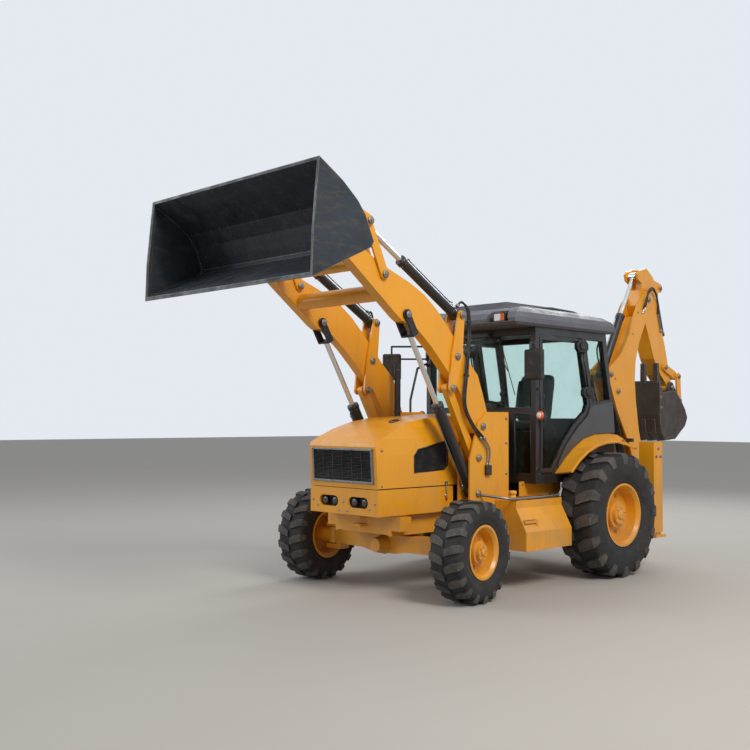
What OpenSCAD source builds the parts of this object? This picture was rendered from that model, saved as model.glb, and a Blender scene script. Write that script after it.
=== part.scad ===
// Backhoe loader with its loader raised and its backhoe folded.
// Every length is in millimetres. X runs to the left, Y to the rear, Z up.
// Side-view places are written as [y, z], with y measured from the rear axle.

/* [Wheels] */
// Distance between the front and the rear axle
wheelbase = 2270; // [2150:10:2400]
// Outer diameter of a rear tyre over its lugs
rear_tyre_d = 1290; // [1220:10:1340]
// Width of a rear tyre
rear_tyre_w = 440; // [400:5:460]
// Flange diameter of a rear rim
rear_rim_d = 655; // [600:5:700]
// Distance between the middles of the rear tyres
rear_track = 1980; // [1940:10:2040]
// Outer diameter of a front tyre over its lugs
front_tyre_d = 910; // [860:10:940]
// Width of a front tyre
front_tyre_w = 330; // [300:5:350]
// Flange diameter of a front rim
front_rim_d = 490; // [450:5:520]
// Distance between the middles of the front tyres
front_track = 2010; // [1960:10:2060]
// Angle that the front wheels are steered to the left
steer_angle = 8; // [0:1:12]
// Number of lugs on each side of a front tyre
front_lugs = 18; // [14:1:20]
// Height of a front tyre's lugs
front_lug_h = 20; // [16:1:24]
// Number of lugs on each side of a rear tyre
rear_lugs = 16; // [14:1:20]
// Height of a rear tyre's lugs
rear_lug_h = 28; // [22:1:32]

/* [Chassis] */
// Outer width over the chassis rails
rail_span = 760; // [700:10:800]
// Thickness of a chassis rail
rail_t = 40; // [30:5:50]
// Lower edge of the chassis rails
rail_z = 560; // [540:10:600]
// Height of the chassis rails
rail_h = 190; // [160:10:220]
// Front end of the chassis rails
rail_front_y = -2620; // [-2700:10:-2560]
// Height at which the cab floor rests
floor_z = 985; // [960:5:1000]

/* [Loader] */
// Distance from the middle of the machine to the middle of a loader arm
arm_x = 576; // [560:2:590]
// Thickness of a loader arm
arm_t = 110; // [90:2:120]
// Rear pivot of the loader arms
arm_pin = [-1650, 1565]; // [-4000:5:4000]
// Pivot of the bellcrank on the loader arm
crank_pin = [-2020, 2225]; // [-4000:5:4000]
// Lower pivot of the levelling link on the tower
link_pin = [-1715, 1265]; // [-4000:5:4000]
// Upper end of the bellcrank, which carries the tilt cylinder
tilt_base_pin = [-1960, 2620]; // [-4000:5:4000]
// Pivot of the tipping lever on the loader arm
lever_pin = [-2985, 2905]; // [-4000:5:4000]
// Upper end of the tipping lever
lever_top_pin = [-3190, 3350]; // [-4000:5:4000]
// Pivot of the loader bucket on the arm
bucket_pin = [-3560, 3200]; // [-4000:5:4000]
// Upper pivot on the back of the loader bucket
bucket_top_pin = [-3790, 3590]; // [-4000:5:4000]
// Lower pivot of the lift cylinder
lift_base_pin = [-1725, 925]; // [-4000:5:4000]
// Upper pivot of the lift cylinder under the loader arm
lift_top_pin = [-2690, 2572]; // [-4000:5:4000]
// Width of the loader bucket
bucket_w = 2350; // [2300:10:2400]
// Thickness of the loader bucket's plates
bucket_t = 18; // [12:1:22]

/* [Cylinders] */
// Outer diameter of a lift cylinder
lift_barrel_d = 105; // [90:1:110]
// Length of a lift cylinder from its pin to its gland
lift_barrel_l = 985; // [960:5:1000]
// Diameter of the chromed rods
rod_d = 50; // [40:1:56]
// Outer diameter of a tilt cylinder
tilt_barrel_d = 92; // [80:1:96]
// Length of a tilt cylinder from its pin to its gland
tilt_barrel_l = 880; // [840:5:900]
// Diameter of the pivot pins
pin_d = 45; // [35:1:50]
// Gap round a pin in its eye, all round
pin_gap = 0.1; // [0.05:0.05:0.2]

/* [Cab] */
// Gap between a rear tyre and the side of the cab
cab_gap = 20; // [15:1:30]
// Front face of the cab at its floor
cab_front_y = -930; // [-960:10:-900]
// Underside of the roof
roof_z = 2575; // [2550:5:2600]
// Thickness of the pillars
pillar_t = 62; // [50:1:70]

/* [Hood] */
// Width of the hood at its foot
hood_w = 920; // [880:10:960]
// Front face of the hood
hood_front_y = -2870; // [-2920:10:-2820]
// Height of the seam under the grille
hood_seam_z = 1000; // [960:5:1040]
// Lower edge of the nose
nose_low_z = 755; // [720:5:780]
// Thickness of the hood panels
hood_t = 20; // [12:1:25]

/* [Backhoe] */
// Place of the backhoe to the left of the middle
shift_x = 460; // [400:10:520]
// Slewing axis of the backhoe
slew_y = 1130; // [1100:10:1160]
// Foot pivot of the boom
boom_pin = [1400, 800]; // [-4000:5:4000]
// Pivot between boom and dipper
dipper_pin = [1530, 3070]; // [-4000:5:4000]
// Pivot between dipper and digging bucket
dig_pin = [2060, 2030]; // [-4000:5:4000]
// Pivot of the dipper cylinder on the boom
dipper_base_pin = [705, 2150]; // [-4000:5:4000]
// Pivot of the dipper cylinder on the dipper
dipper_top_pin = [1400, 3350]; // [-4000:5:4000]
// Pivot of the boom cylinder on the kingpost
boom_base_pin = [1150, 1010]; // [-4000:5:4000]
// Pivot of the boom cylinder on the boom
boom_top_pin = [850, 1960]; // [-4000:5:4000]
// Width of the digging bucket
dig_w = 440; // [400:10:480]

/* [Stabilisers] */
// Distance from the middle of the machine to the middle of a stabiliser
stab_x = 1035; // [1020:5:1060]
// Front face of the side-shift frame
frame_y = 700; // [690:5:720]
// Lower end of the stabiliser's outer box
stab_low_z = 400; // [380:10:440]
// Upper end of the stabiliser's outer box
stab_top_z = 1390; // [1340:10:1420]

/* [Hidden] */
$fn = 48;

// Distance from the rear axle to the middle of the whole machine
axle_y = 1000;
// Half the width of the cab at its floor
cab_half = (rear_track - rear_tyre_w) / 2 - cab_gap;
// Radii and the pivot at the foot of the bellcrank follow from the driving sizes
rear_axle_z = rear_tyre_d / 2;
front_axle_z = front_tyre_d / 2;
crank_low_pin = crank_pin + link_pin - arm_pin;
rail_top_z = rail_z + rail_h;
bore_d = pin_d + 2 * pin_gap;
plate_t = 20;
side_gap = 4;
arm_in = arm_x - arm_t / 2;
arm_out = arm_x + arm_t / 2;
fork_in = arm_in - side_gap - plate_t;
fork_out = arm_out + side_gap + plate_t;

// Moves a shape from the rear axle's place to the middle of the machine
module placed() translate([0, axle_y, 0]) children();

// Both sides of the machine
module both() {
    children();
    mirror([1, 0, 0]) children();
}

// Extrudes an outline drawn in [y, z] along X from x0 to x1
module side(x0, x1) translate([x0, 0, 0]) rotate([90, 0, 90]) linear_extrude(x1 - x0) children();

// Extrudes an outline drawn in [x, z] along Y from y0 to y1
module front(y0, y1) translate([0, y1, 0]) rotate([90, 0, 0]) linear_extrude(y1 - y0) children();

// A round bar along X through the place p
module pin(p, x0, x1, d) translate([x0, p[0], p[1]]) rotate([0, 90, 0]) cylinder(d = d, h = x1 - x0);

// Moves a shape's +Z to point from p to q at the distance x from the middle
module along(p, q, x) {
    a = atan2(q[1] - p[1], q[0] - p[0]);
    translate([x, p[0], p[1]]) rotate([a - 90, 0, 0]) children();
}

function dist(p, q) = norm(q - p);
function toward(p, q, s) = p + (q - p) * s / norm(q - p);

// A flat bar outline between two places, round at both ends
module bar(p, q, w0, w1) {
    u = (q - p) / norm(q - p);
    n = [-u[1], u[0]];
    translate(p) circle(d = w0);
    translate(q) circle(d = w1);
    polygon([p + n * w0 / 2, q + n * w1 / 2, q - n * w1 / 2, p - n * w0 / 2]);
}

// A round rod between two places in space
module stick(p, q, d) {
    v = q - p;
    translate(p) rotate([0, acos(v[2] / norm(v)), atan2(v[1], v[0])]) cylinder(d = d, h = norm(v));
}

// A barrel with its base eye at p, its mouth toward q
module barrel(p, q, x, l, d, eye_w) {
    difference() {
        union() {
            along(p, q, x) translate([0, 0, 30]) cylinder(d = d, h = l - 70);
            along(p, q, x) translate([0, 0, l - 40]) cylinder(d = d + 10, h = 40);
            pin(p, x - eye_w / 2, x + eye_w / 2, pin_d + 44);
        }
        pin(p, x - eye_w, x + eye_w, bore_d);
        along(p, q, x) translate([0, 0, d * 0.8]) cylinder(d = rod_d + 2, h = l);
    }
}
// A rod with its eye at q and its tail inside the barrel that starts at p
module rod(p, q, x, l, eye_w) {
    along(q, p, x) translate([0, 0, 20]) cylinder(d = rod_d, h = l - 20);
    pin(q, x - eye_w / 2, x + eye_w / 2, pin_d + 36);
}
// A tyre about X with slanting lugs, centred on its middle plane
module tyre(d, w, rim, lugs, depth) {
    base = d / 2 - depth;
    pitch = PI * d / lugs;
    $fn = 28;
    rotate([0, 90, 0]) rotate_extrude() polygon([
        [rim / 2 - 12, -w * 0.36], [rim / 2 + 30, -w * 0.44], [d * 0.42, -w * 0.5], [base, -w * 0.42],
        [base, w * 0.42], [d * 0.42, w * 0.5], [rim / 2 + 30, w * 0.44], [rim / 2 - 12, w * 0.36]]);
    intersection() {
        rotate([0, 90, 0]) cylinder(d = d, h = w, center = true);
        for (s = [0, 1]) mirror([s, 0, 0]) for (i = [0 : lugs - 1])
            rotate([(i + s / 2) * 360 / lugs, 0, 0]) translate([0, 0, base - 16]) linear_extrude(depth * 2)
                polygon([[w * 0.03, pitch * 0.13], [w * 0.46, pitch * 0.34], [w * 0.46, -pitch * 0.08],
                    [w * 0.03, -pitch * 0.28]]);
    }
}

// A rim about X whose outer side looks along +X
module rim(rim_d, w, disc_x) {
    r = rim_d / 2;
    rotate([0, 90, 0]) {
        rotate_extrude() polygon([
            [r - 12.2, -w * 0.36], [r, -w * 0.44], [r - 22, -w * 0.44], [r - 44, -w * 0.36],
            [r - 62, disc_x - 15], [0, disc_x - 15], [0, disc_x + 15], [r - 58, disc_x + 15],
            [r - 44, w * 0.36], [r - 22, w * 0.44], [r, w * 0.44], [r - 12.2, w * 0.36]]);
        translate([0, 0, disc_x]) cylinder(r = r * 0.42, h = 75);
        translate([0, 0, disc_x]) cylinder(r = r * 0.3, h = 110);
    }
}

module front_wheel_place(s) {
    translate([s * kingpin_x, -wheelbase, front_axle_z]) rotate([0, 0, steer_angle])
        translate([s * (front_track / 2 - kingpin_x), 0, 0]) mirror([s < 0 ? 1 : 0, 0, 0]) children();
}
module rear_wheel_place(s)
    translate([s * rear_track / 2, 0, rear_axle_z]) mirror([s < 0 ? 1 : 0, 0, 0]) children();

module tyre_front(s) color("dimgray") placed() front_wheel_place(s)
    tyre(front_tyre_d, front_tyre_w, front_rim_d, front_lugs, front_lug_h);
module tyre_rear(s) color("dimgray") placed() rear_wheel_place(s)
    tyre(rear_tyre_d, rear_tyre_w, rear_rim_d, rear_lugs, rear_lug_h);
module rim_front(s) color("orange") placed() front_wheel_place(s) rim(front_rim_d, front_tyre_w, 20);
module rim_rear(s) color("orange") placed() rear_wheel_place(s) rim(rear_rim_d, rear_tyre_w, 40);

// Axles and steering
kingpin_x = 780;
hub_gap = 5;
module front_axle() translate([0, -wheelbase, front_axle_z]) {
    difference() {
        union() {
            front(-70, 70) polygon([[-690, -70], [-300, -75], [-150, -100], [150, -100], [300, -75], [690, -70],
                [690, 75], [300, 80], [-300, 80], [-690, 75]]);
            for (s = [-1, 1]) translate([s * 690, 0, 0]) translate([s > 0 ? 0 : -150, -60, 85])
                cube([150, 120, 45]);
            for (s = [-1, 1]) translate([s * 690, 0, 0]) translate([s > 0 ? 0 : -150, -60, -130])
                cube([150, 120, 45]);
            for (s = [-1, 1]) translate([s * 660 - 30, -60, -130]) cube([60, 120, 260]);
            translate([0, -190, -20]) rotate([-90, 0, 0]) cylinder(d1 = 130, d2 = 190, h = 130);
        }
        for (s = [-1, 1]) translate([s * kingpin_x, 0, -200]) cylinder(d = 41, h = 400);
    }
}
module knuckle(s) color("orange") placed()
    translate([s * kingpin_x, -wheelbase, front_axle_z]) rotate([0, 0, steer_angle]) {
        translate([0, 0, -78]) cylinder(d = 120, h = 156);
        translate([0, 0, -125]) cylinder(d = 40, h = 250);
        rotate([0, s * 90, 0]) cylinder(d = 150, h = front_track / 2 - kingpin_x + 4.7);
        translate([-20, 0, -20]) cube([40, 190, 40]);
    }
arm_l = 170;
module steering_rod() color("silver") placed() translate([0, -wheelbase, front_axle_z]) {
    dx = arm_l * sin(steer_angle);
    dy = arm_l * cos(steer_angle);
    translate([-kingpin_x - dx, dy, 47]) rotate([0, 90, 0]) cylinder(d = 36, h = 2 * kingpin_x);
    for (x = [-kingpin_x - dx, kingpin_x - dx]) translate([x, dy, 20.5]) cylinder(d = 44, h = 50);
}
module rear_axle() {
    translate([-rear_track / 2 - 24.7, 0, rear_axle_z]) rotate([0, 90, 0]) cylinder(d = 180, h = rear_track + 49.4);
    translate([-330, 0, rear_axle_z]) rotate([0, 90, 0]) cylinder(d = 260, h = 660);
    translate([0, 0, rear_axle_z]) rotate([0, 90, 0]) rotate_extrude() polygon([[0, -210], [120, -190], [190, -90],
        [210, 0], [190, 90], [120, 190], [0, 210]]);
    translate([0, -259.5, rear_shaft_z]) rotate([-90, 0, 0]) cylinder(d = 130, h = 200);
    both() translate([rail_span / 2 - rail_t - 100, -120, rear_axle_z]) cube([100, 240, rail_z + rail_h - 20 - rear_axle_z]);
    both() translate([rail_span / 2, -120, rear_axle_z]) cube([60, 240, rail_z + rail_h - 20 - rear_axle_z]);
}
module axles() color("darkorange") placed() {
    front_axle();
    rear_axle();
}

module chassis() color("darkorange") placed() {
    both() difference() {
        translate([rail_span / 2 - rail_t, rail_front_y, rail_z]) cube([rail_t, frame_y - rail_front_y, rail_h]);
        translate([0, 0, rear_axle_z]) rotate([0, 90, 0]) cylinder(d = 182, h = 900);
    }
    for (y = [rail_front_y, -wheelbase - 75, -1760, -1180, -620, 250, frame_y - 160])
        translate([-rail_span / 2 + 5, y, rail_z + 10]) cube([rail_span - 10, 150, rail_h - 20]);
    translate([-490, rail_front_y, rail_z + 50]) cube([980, 149, 130]);
    translate([-110, -wheelbase - 74, front_axle_z + 80]) cube([220, 148, rail_z - front_axle_z - 60]);
    difference() {
        for (z = [630, 705]) translate([-60, rail_front_y - 90, z]) cube([120, 100, 25]);
        translate([0, rail_front_y - 45, 600]) cylinder(d = 33, h = 200);
    }
}
// Heights of the shafts to the two axles, and the gearbox they leave, from front to back
rear_shaft_z = 455;
front_shaft_z = 425;
gearbox = [-1600, -1190];
module engine() color("dimgray") placed() {
    translate([-260, -2640, rail_top_z - 10]) cube([520, 1500, 640]);
    translate([-170, gearbox[0], 370]) cube([340, gearbox[1] - gearbox[0], rail_top_z - 350]);
    translate([0, gearbox[0] + 5, front_shaft_z]) rotate([90, 0, 0]) cylinder(d = 80, h = wheelbase + gearbox[0] - 65.3);
    translate([0, gearbox[1] - 5, rear_shaft_z]) rotate([-90, 0, 0]) cylinder(d = 80, h = -gearbox[1] - 255);
}

// Loader towers with the pins of arm, link and lift cylinder
module tower_outline() {
    polygon([[-1840, rail_top_z], [-1250, rail_top_z], [-1250, 1705], [-1590, 1705], [-1730, 1560], [-1840, 1250]]);
    translate(arm_pin) circle(d = 150);
    translate(lift_base_pin) circle(d = 150);
}
module towers() color("orange") placed() both() {
    side(fork_in, fork_in + plate_t) tower_outline();
    side(fork_out - plate_t, fork_out) tower_outline();
    side(fork_in, fork_out) polygon([[-1310, rail_top_z], [-1250, rail_top_z], [-1250, 1705], [-1310, 1705]]);
    translate([rail_span / 2, -1800, rail_z + 20]) cube([fork_in - rail_span / 2 + plate_t, 500, rail_h]);
    for (p = [arm_pin, link_pin, lift_base_pin]) pin(p, fork_in - 10, fork_out + 10, pin_d);
}

// Loader arms
arm_outline = [[-1545, 1520], [-1535, 1640], [-1620, 1880], [-1697, 2061], [-1859, 2210], [-2146, 2515],
    [-2286, 2650], [-2449, 2770], [-2648, 2865], [-2929, 2967], [-3000, 2990], [-3199, 3094],
    [-3560, 3290], [-3640, 3240], [-3640, 3160], [-3386, 2995], [-2790, 2545], [-2730, 2510],
    [-2607, 2500], [-2367, 2310], [-2215, 2165], [-2010, 1960], [-1790, 1640], [-1770, 1500], [-1650, 1470]];
module arm_plate() difference() {
    union() {
        polygon(arm_outline);
        translate(arm_pin) circle(d = 150);
        translate(lift_top_pin) circle(d = 130);
        translate(bucket_pin) circle(d = 170);
    }
    for (p = [arm_pin, lever_pin, bucket_pin]) translate(p) circle(d = bore_d);
}
module loader_arms() color("orange") placed() {
    both() side(arm_in, arm_out) arm_plate();
    both() pin(crank_pin, fork_in - 8, fork_out + 8, pin_d);
    pin([-2940, 2755], -arm_in - 20, arm_in + 20, 150);
    pin([-3226, 2975], -arm_in - 20, arm_in + 20, 96);
}
module levelling_links() color("orange") placed() both() difference() {
    side(arm_x - 32, arm_x + 32) bar(link_pin, crank_low_pin, 84, 84);
    pin(link_pin, 0, 900, bore_d);
    pin(crank_low_pin, 0, 900, bore_d);
}
module crank_outline() difference() {
    union() {
        bar(crank_pin, tilt_base_pin, 150, 90);
        bar(crank_pin, crank_low_pin, 150, 90);
    }
    for (p = [crank_pin, tilt_base_pin]) translate(p) circle(d = bore_d);
}
module bellcranks() color("orange") placed() both() {
    side(fork_in, fork_in + plate_t) crank_outline();
    side(fork_out - plate_t, fork_out) crank_outline();
    pin(crank_low_pin, fork_in - 4, fork_out + 4, pin_d);
}
module tilt_pins() color("silver") placed() both() pin(tilt_base_pin, fork_in - 12, fork_out + 12, pin_d);
module tilt_barrels() color("black") placed() both()
    barrel(tilt_base_pin, lever_top_pin, arm_x, tilt_barrel_l, tilt_barrel_d, 80);
module tilt_rods() color("silver") placed() both()
    rod(tilt_base_pin, lever_top_pin, arm_x, 880, arm_t - 8);
module lever_pins() color("silver") placed() both() pin(lever_pin, fork_in - 12, fork_out + 12, pin_d);
module tipping_levers() color("orange") placed() both() difference() {
    union() {
        side(fork_in, fork_in + plate_t) bar(lever_pin, lever_top_pin, 90, 90);
        side(fork_out - plate_t, fork_out) bar(lever_pin, lever_top_pin, 90, 90);
    }
    for (p = [lever_pin, lever_top_pin]) pin(p, 0, 900, bore_d);
}
module link_pins() color("silver") placed() both() {
    pin(lever_top_pin, fork_in - 36, fork_in + plate_t, pin_d);
    pin(lever_top_pin, fork_out - plate_t, fork_out + 36, pin_d);
}
module bucket_links() color("orange") placed() both() difference() {
    union() {
        side(fork_in - side_gap - plate_t, fork_in - side_gap) bar(lever_top_pin, bucket_top_pin, 90, 90);
        side(fork_out + side_gap, fork_out + side_gap + plate_t) bar(lever_top_pin, bucket_top_pin, 90, 90);
        pin(bucket_top_pin, fork_in - side_gap - plate_t - 12, fork_in - side_gap, pin_d);
        pin(bucket_top_pin, fork_out + side_gap, fork_out + side_gap + plate_t + 12, pin_d);
    }
    pin(lever_top_pin, 0, 900, bore_d);
}
module bucket_pins() color("silver") placed() both() pin(bucket_pin, fork_in - 12, fork_out + 12, pin_d);

// Loader bucket: a bent shell between two side plates
bucket_curve = [[-4272, 2705], [-3650, 3000], [-3626, 3050], [-3660, 3119], [-3716, 3245], [-3803, 3353],
    [-3963, 3484], [-4206, 3631]];
module bucket_side() polygon(concat(bucket_curve, [[-4229, 3401], [-4262, 3050]]));
module bucket_skin() difference() {
    polygon(concat(bucket_curve, [[-4229, 3401], [-4262, 3050]]));
    polygon([[-4290, 2730], [-3675, 3015], [-3655, 3055], [-3688, 3125], [-3742, 3255], [-3825, 3365],
        [-3980, 3470], [-4290, 3655]]);
}
// Places of the ribs along the back of the loader bucket
bucket_ribs = [-900, -300, 0, 300, 900];
module loader_bucket() color("darkslategray") placed() difference() {
    union() {
        both() side(bucket_w / 2 - bucket_t, bucket_w / 2) bucket_side();
        side(-bucket_w / 2 + 2, bucket_w / 2 - 2) polygon([[-4268, 2704], [-4080, 2793], [-4087, 2808], [-4262, 2726]]);
        for (x = bucket_ribs) side(x - 10, x + 10) polygon([[-3650, 3000], [-3622, 2992], [-3596, 3050], [-3634, 3128],
            [-3692, 3262], [-3786, 3374], [-3950, 3508], [-3963, 3484], [-3803, 3353], [-3716, 3245], [-3660, 3119],
            [-3626, 3050]]);
        side(-bucket_w / 2, bucket_w / 2) bucket_skin();
        both() for (x = [fork_in - plate_t - 4, fork_out + 4])
            side(x, x + plate_t) polygon([[-3500, 3190], [-3560, 3260], [-3740, 3290], [-3670, 3110], [-3640, 3030], [-3590, 3050]]);
        both() for (x = [fork_in, fork_out - plate_t])
            side(x, x + plate_t) {
                translate(bucket_top_pin) circle(d = 90);
                polygon([[-3750, 3610], [-3960, 3490], [-3815, 3350], [-3750, 3560]]);
            }
    }
    pin(bucket_pin, -900, 900, bore_d);
}
// Lift cylinders
module lift_barrels() color("black") placed() both()
    barrel(lift_base_pin, lift_top_pin, arm_x, lift_barrel_l, lift_barrel_d, 100);
lift_rod_l = 1100;
fork_l = 212;
module lift_rods() color("dimgray") placed() both() {
    along(lift_top_pin, lift_base_pin, arm_x) {
        translate([0, 0, fork_l - 15]) cylinder(d = rod_d, h = lift_rod_l - fork_l + 15);
        difference() {
            translate([fork_in - arm_x, -36, 0]) cube([fork_out - fork_in, 72, fork_l]);
            translate([fork_in + plate_t - arm_x, -60, -60]) cube([fork_out - fork_in - 2 * plate_t, 120, fork_l + 38]);
        }
    }
    pin(lift_top_pin, fork_in - 0.5, fork_in + plate_t - 0.3, 96);
    pin(lift_top_pin, fork_out - plate_t + 0.3, fork_out + 0.5, 96);
    pin(lift_top_pin, fork_in - 10, fork_in + 5, pin_d);
    pin(lift_top_pin, fork_out - 5, fork_out + 10, pin_d);
}
// Cab
glass_t = 8;
cab_rear = [[350, roof_z], [470, 1830], [500, 1475], [500, floor_z]];
door_edge = [[-858, 1090], [-650, 1090], [-555, 1200], [-415, 1385], [-215, 1560], [-20, 1690], [25, 1790],
    [-122, 2490], [-858, 2490]];
door_hole = [[-868, 1080], [-645, 1080], [-547, 1194], [-408, 1378], [-209, 1551], [-12, 1682], [37, 1790],
    [-112, 2500], [-868, 2500]];
door_glazing = [[-815, 1135], [-672, 1135], [-596, 1226], [-452, 1417], [-245, 1596], [-56, 1722], [-20, 1795],
    [-160, 2448], [-815, 2448]];
quarter_window = [[-45, 2490], [285, 2490], [415, 1850], [100, 1815]];
pane_x = cab_half - 65;
windscreen = [[-pane_x, 1750], [pane_x, 1750], [pane_x, 2500], [-pane_x, 2500]];
low_window = [[pane_x - 205, 1080], [pane_x, 1080], [pane_x, 1690], [pane_x - 205, 1690]];
module cab_frame() color("black") placed() {
    both() side(cab_half - pillar_t, cab_half) difference() {
        polygon(concat([[cab_front_y, floor_z], [cab_front_y, roof_z]], cab_rear));
        polygon(door_hole);
        polygon(quarter_window);
    }
    front(cab_front_y, cab_front_y + 30) difference() {
        translate([-cab_half + 1, floor_z]) square([2 * cab_half - 2, roof_z - floor_z]);
        polygon(windscreen);
        polygon(low_window);
        mirror([1, 0]) polygon(low_window);
    }
    hood_brackets();
    translate([-cab_half + 1, 288, roof_z - 60]) cube([2 * cab_half - 2, 60, 60]);
    translate([-cab_half + 1, 438, floor_z]) cube([2 * cab_half - 2, 60, 500]);
    translate([-cab_half + 1, cab_front_y + 1, floor_z]) cube([2 * cab_half - 2, 498 - cab_front_y, 60]);
    for (s = [-1, 1]) for (y = [-800, 250]) translate([s * 330 - 50, y, rail_top_z])
        cube([100, 100, floor_z - rail_top_z]);
}
module quarter_panels() color("gray") placed() both() side(cab_half, cab_half + 12) polygon([
    [-560, 1135], [-547, 1194], [-406, 1376], [-207, 1549], [-10, 1680], [40, 1778], [420, 1826], [466, 1832], [500, 1488],
    [378, 1490], [118, 1481], [-93, 1436], [-298, 1333], [-459, 1221]]);
// Rim of the roof: how far it stands out past the cab's side, and its height over the pillars
roof_edge = [[30, 0], [55, 25], [55, 75], [30, 130], [-30, 175], [-150, 215], [-350, 245]];
module roof_body() intersection() {
    side(-900, 900) translate([0, roof_z]) polygon([[-1290, 0], [-1330, 25], [-1335, 65], [-1290, 125],
        [-1150, 180], [-800, 240], [-400, 260], [0, 247], [300, 190], [430, 115], [455, 55], [440, 15], [420, 0]]);
    front(-1400, 600) polygon(concat([for (p = roof_edge) [-cab_half - p[0], roof_z + p[1]]], [[0, roof_z + 263]],
        [for (i = [len(roof_edge) - 1 : -1 : 0]) [cab_half + roof_edge[i][0], roof_z + roof_edge[i][1]]]));
}
module cab_roof() color("dimgray") placed() {
    difference() {
        roof_body();
        both() front(-1400, -1230) translate([cab_half, roof_z]) polygon([[-320, 33], [-30, 33], [-70, 140], [-290, 150]]);
    }
    translate([-cab_half + 350, -950, roof_z + 215]) cube([2 * cab_half - 700, 780, 62]);
}
module cab_glass() color("lightblue") placed() {
    front(cab_front_y + 12, cab_front_y + 12 + glass_t) {
        polygon(windscreen);
        polygon(low_window);
        mirror([1, 0]) polygon(low_window);
    }
    side(-cab_half + pillar_t, cab_half - pillar_t) polygon([[330, 2515], [338, 2515], [478, 1485], [470, 1485]]);
    both() side(cab_half - 40, cab_half - 40 + glass_t) polygon(quarter_window);
}
module door_side() {
    side(cab_half - 50, cab_half) difference() {
        polygon(door_edge);
        polygon(door_glazing);
    }
    translate([cab_half, -835, 1560]) cube([26, 26, 170]);
    for (p = [[-79, 2409], [30, 1919]]) translate([cab_half, p[0] - 130, p[1] - 45]) cube([20, 105, 90]);
}
module door_left() color("black") placed() door_side();
module door_right() color("black") placed() mirror([1, 0, 0]) door_side();
module door_pane() side(cab_half - 30, cab_half - 30 + glass_t) polygon(door_glazing);
module door_glass_left() color("lightblue") placed() door_pane();
module door_glass_right() color("lightblue") placed() mirror([1, 0, 0]) door_pane();
module seat() color("dimgray") placed() {
    translate([-240, -420, 1500]) cube([480, 440, 120]);
    translate([-230, -20, 1600]) rotate([-10, 0, 0]) cube([460, 100, 560]);
}
wheel_tilt = 25;
module controls() color("black") placed() {
    translate([-190, -390, floor_z + 60]) cube([380, 380, 455]);
    translate([-130, -890, floor_z + 60]) cube([260, 180, 640]);
    translate([0, -690, 1680]) rotate([-wheel_tilt, 0, 0]) {
        translate([0, 0, -60]) cylinder(d = 50, h = 140);
        translate([0, 0, 75]) rotate_extrude() translate([175, 0]) polygon([[-14, -6], [-6, -14], [6, -14], [14, -6], [14, 6],
            [6, 14], [-6, 14], [-14, 6]]);
        for (a = [80, 200, 320]) rotate([0, 0, a]) translate([10, -14, 66]) cube([160, 28, 14]);
    }
    both() translate([380, -500, floor_z + 60]) cube([160, 560, 600]);
}

// Bodywork
// Fender sections as [y, z at the cab, y, z at the outer edge]
fender_x = rear_track / 2 - 35;
fender_t = 22;
fender_rows = [[-606, 1080, -600, 1108], [-459, 1213, -460, 1220], [-298, 1325, -300, 1310], [-93, 1428, -120, 1370],
    [118, 1473, 60, 1399], [378, 1482, 260, 1403], [560, 1465, 440, 1370], [640, 1440, 594, 1325]];
function inward(p) = p * (1 - fender_t / norm([p[0], p[1] - rear_axle_z])) + [0, rear_axle_z * fender_t / norm([p[0], p[1] - rear_axle_z])];
function fender_ring(r) = let(a = [r[0], r[1]], b = [r[2], r[3]], c = inward(b), d = inward(a))
    [[cab_half, a[0], a[1]], [fender_x, b[0], b[1]], [fender_x, c[0], c[1]], [cab_half, d[0], d[1]]];
module fender() {
    n = len(fender_rows);
    polyhedron(points = [for (r = fender_rows) for (p = fender_ring(r)) p],
        faces = concat(
            [for (i = [0 : n - 2]) for (k = [0 : 3]) [4 * i + k, 4 * i + (k + 1) % 4, 4 * i + 4 + (k + 1) % 4]],
            [for (i = [0 : n - 2]) for (k = [0 : 3]) [4 * i + k, 4 * i + 4 + (k + 1) % 4, 4 * i + 4 + k]],
            [[3, 2, 1], [3, 1, 0]],
            [[4 * n - 4, 4 * n - 3, 4 * n - 2], [4 * n - 4, 4 * n - 2, 4 * n - 1]]));
}
module fenders() color("orange") placed() both() fender();
module side_box() {
    front(-1245, -720) polygon([[rail_span / 2, 380], [1032, 380], [1032, 560], [911, 780], [911, 851], [rail_span / 2, 851]]);
    front(-1460, -1246) polygon([[fork_out + 5, 380], [1032, 380], [1032, 560], [911, 780], [911, 851], [fork_out + 5, 851]]);
    translate([fork_out + 5, -1250, 400]) cube([200, 20, 400]);
    for (z = [420, 640]) translate([fork_out + 205, -1445, z]) cube([150, 190, 25]);
    translate([fork_out + 205, -1270, 420]) cube([150, 26, 245]);
}
module nose() {
    difference() {
        translate([-hood_w / 2, hood_front_y, nose_low_z]) side(0, hood_w) translate([-hood_front_y, -nose_low_z])
            polygon([[hood_front_y, nose_low_z], [-2101, nose_low_z], [-1860, nose_low_z + 20], [-1860, hood_seam_z - 4],
                [hood_front_y, hood_seam_z - 4]]);
        translate([-hood_w / 2 + hood_t, hood_front_y + hood_t, nose_low_z - 1]) cube([hood_w - 2 * hood_t, 1100, 300]);
        for (s = [-1, 1]) translate([s * 200, hood_front_y - 1, 870]) rotate([-90, 0, 0]) {
            translate([-80, 0, 0]) cylinder(d = 100, h = 60);
            translate([80, 0, 0]) cylinder(d = 100, h = 60);
            translate([-80, -50, 0]) cube([160, 100, 60]);
        }
    }
    both() translate([rail_span / 2 + 15, -2615, rail_z + 180]) cube([hood_w / 2 - rail_span / 2 - hood_t - 13, 140, 70]);
}
module lower_bodywork() color("orange") placed() {
    nose();
    both() side_box();
}
hood_profile = [[-2771, 1471], [-2617, 1535], [-2379, 1610], [-2145, 1645], [-1933, 1656], [-1500, 1682], [-1010, 1700]];
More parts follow.
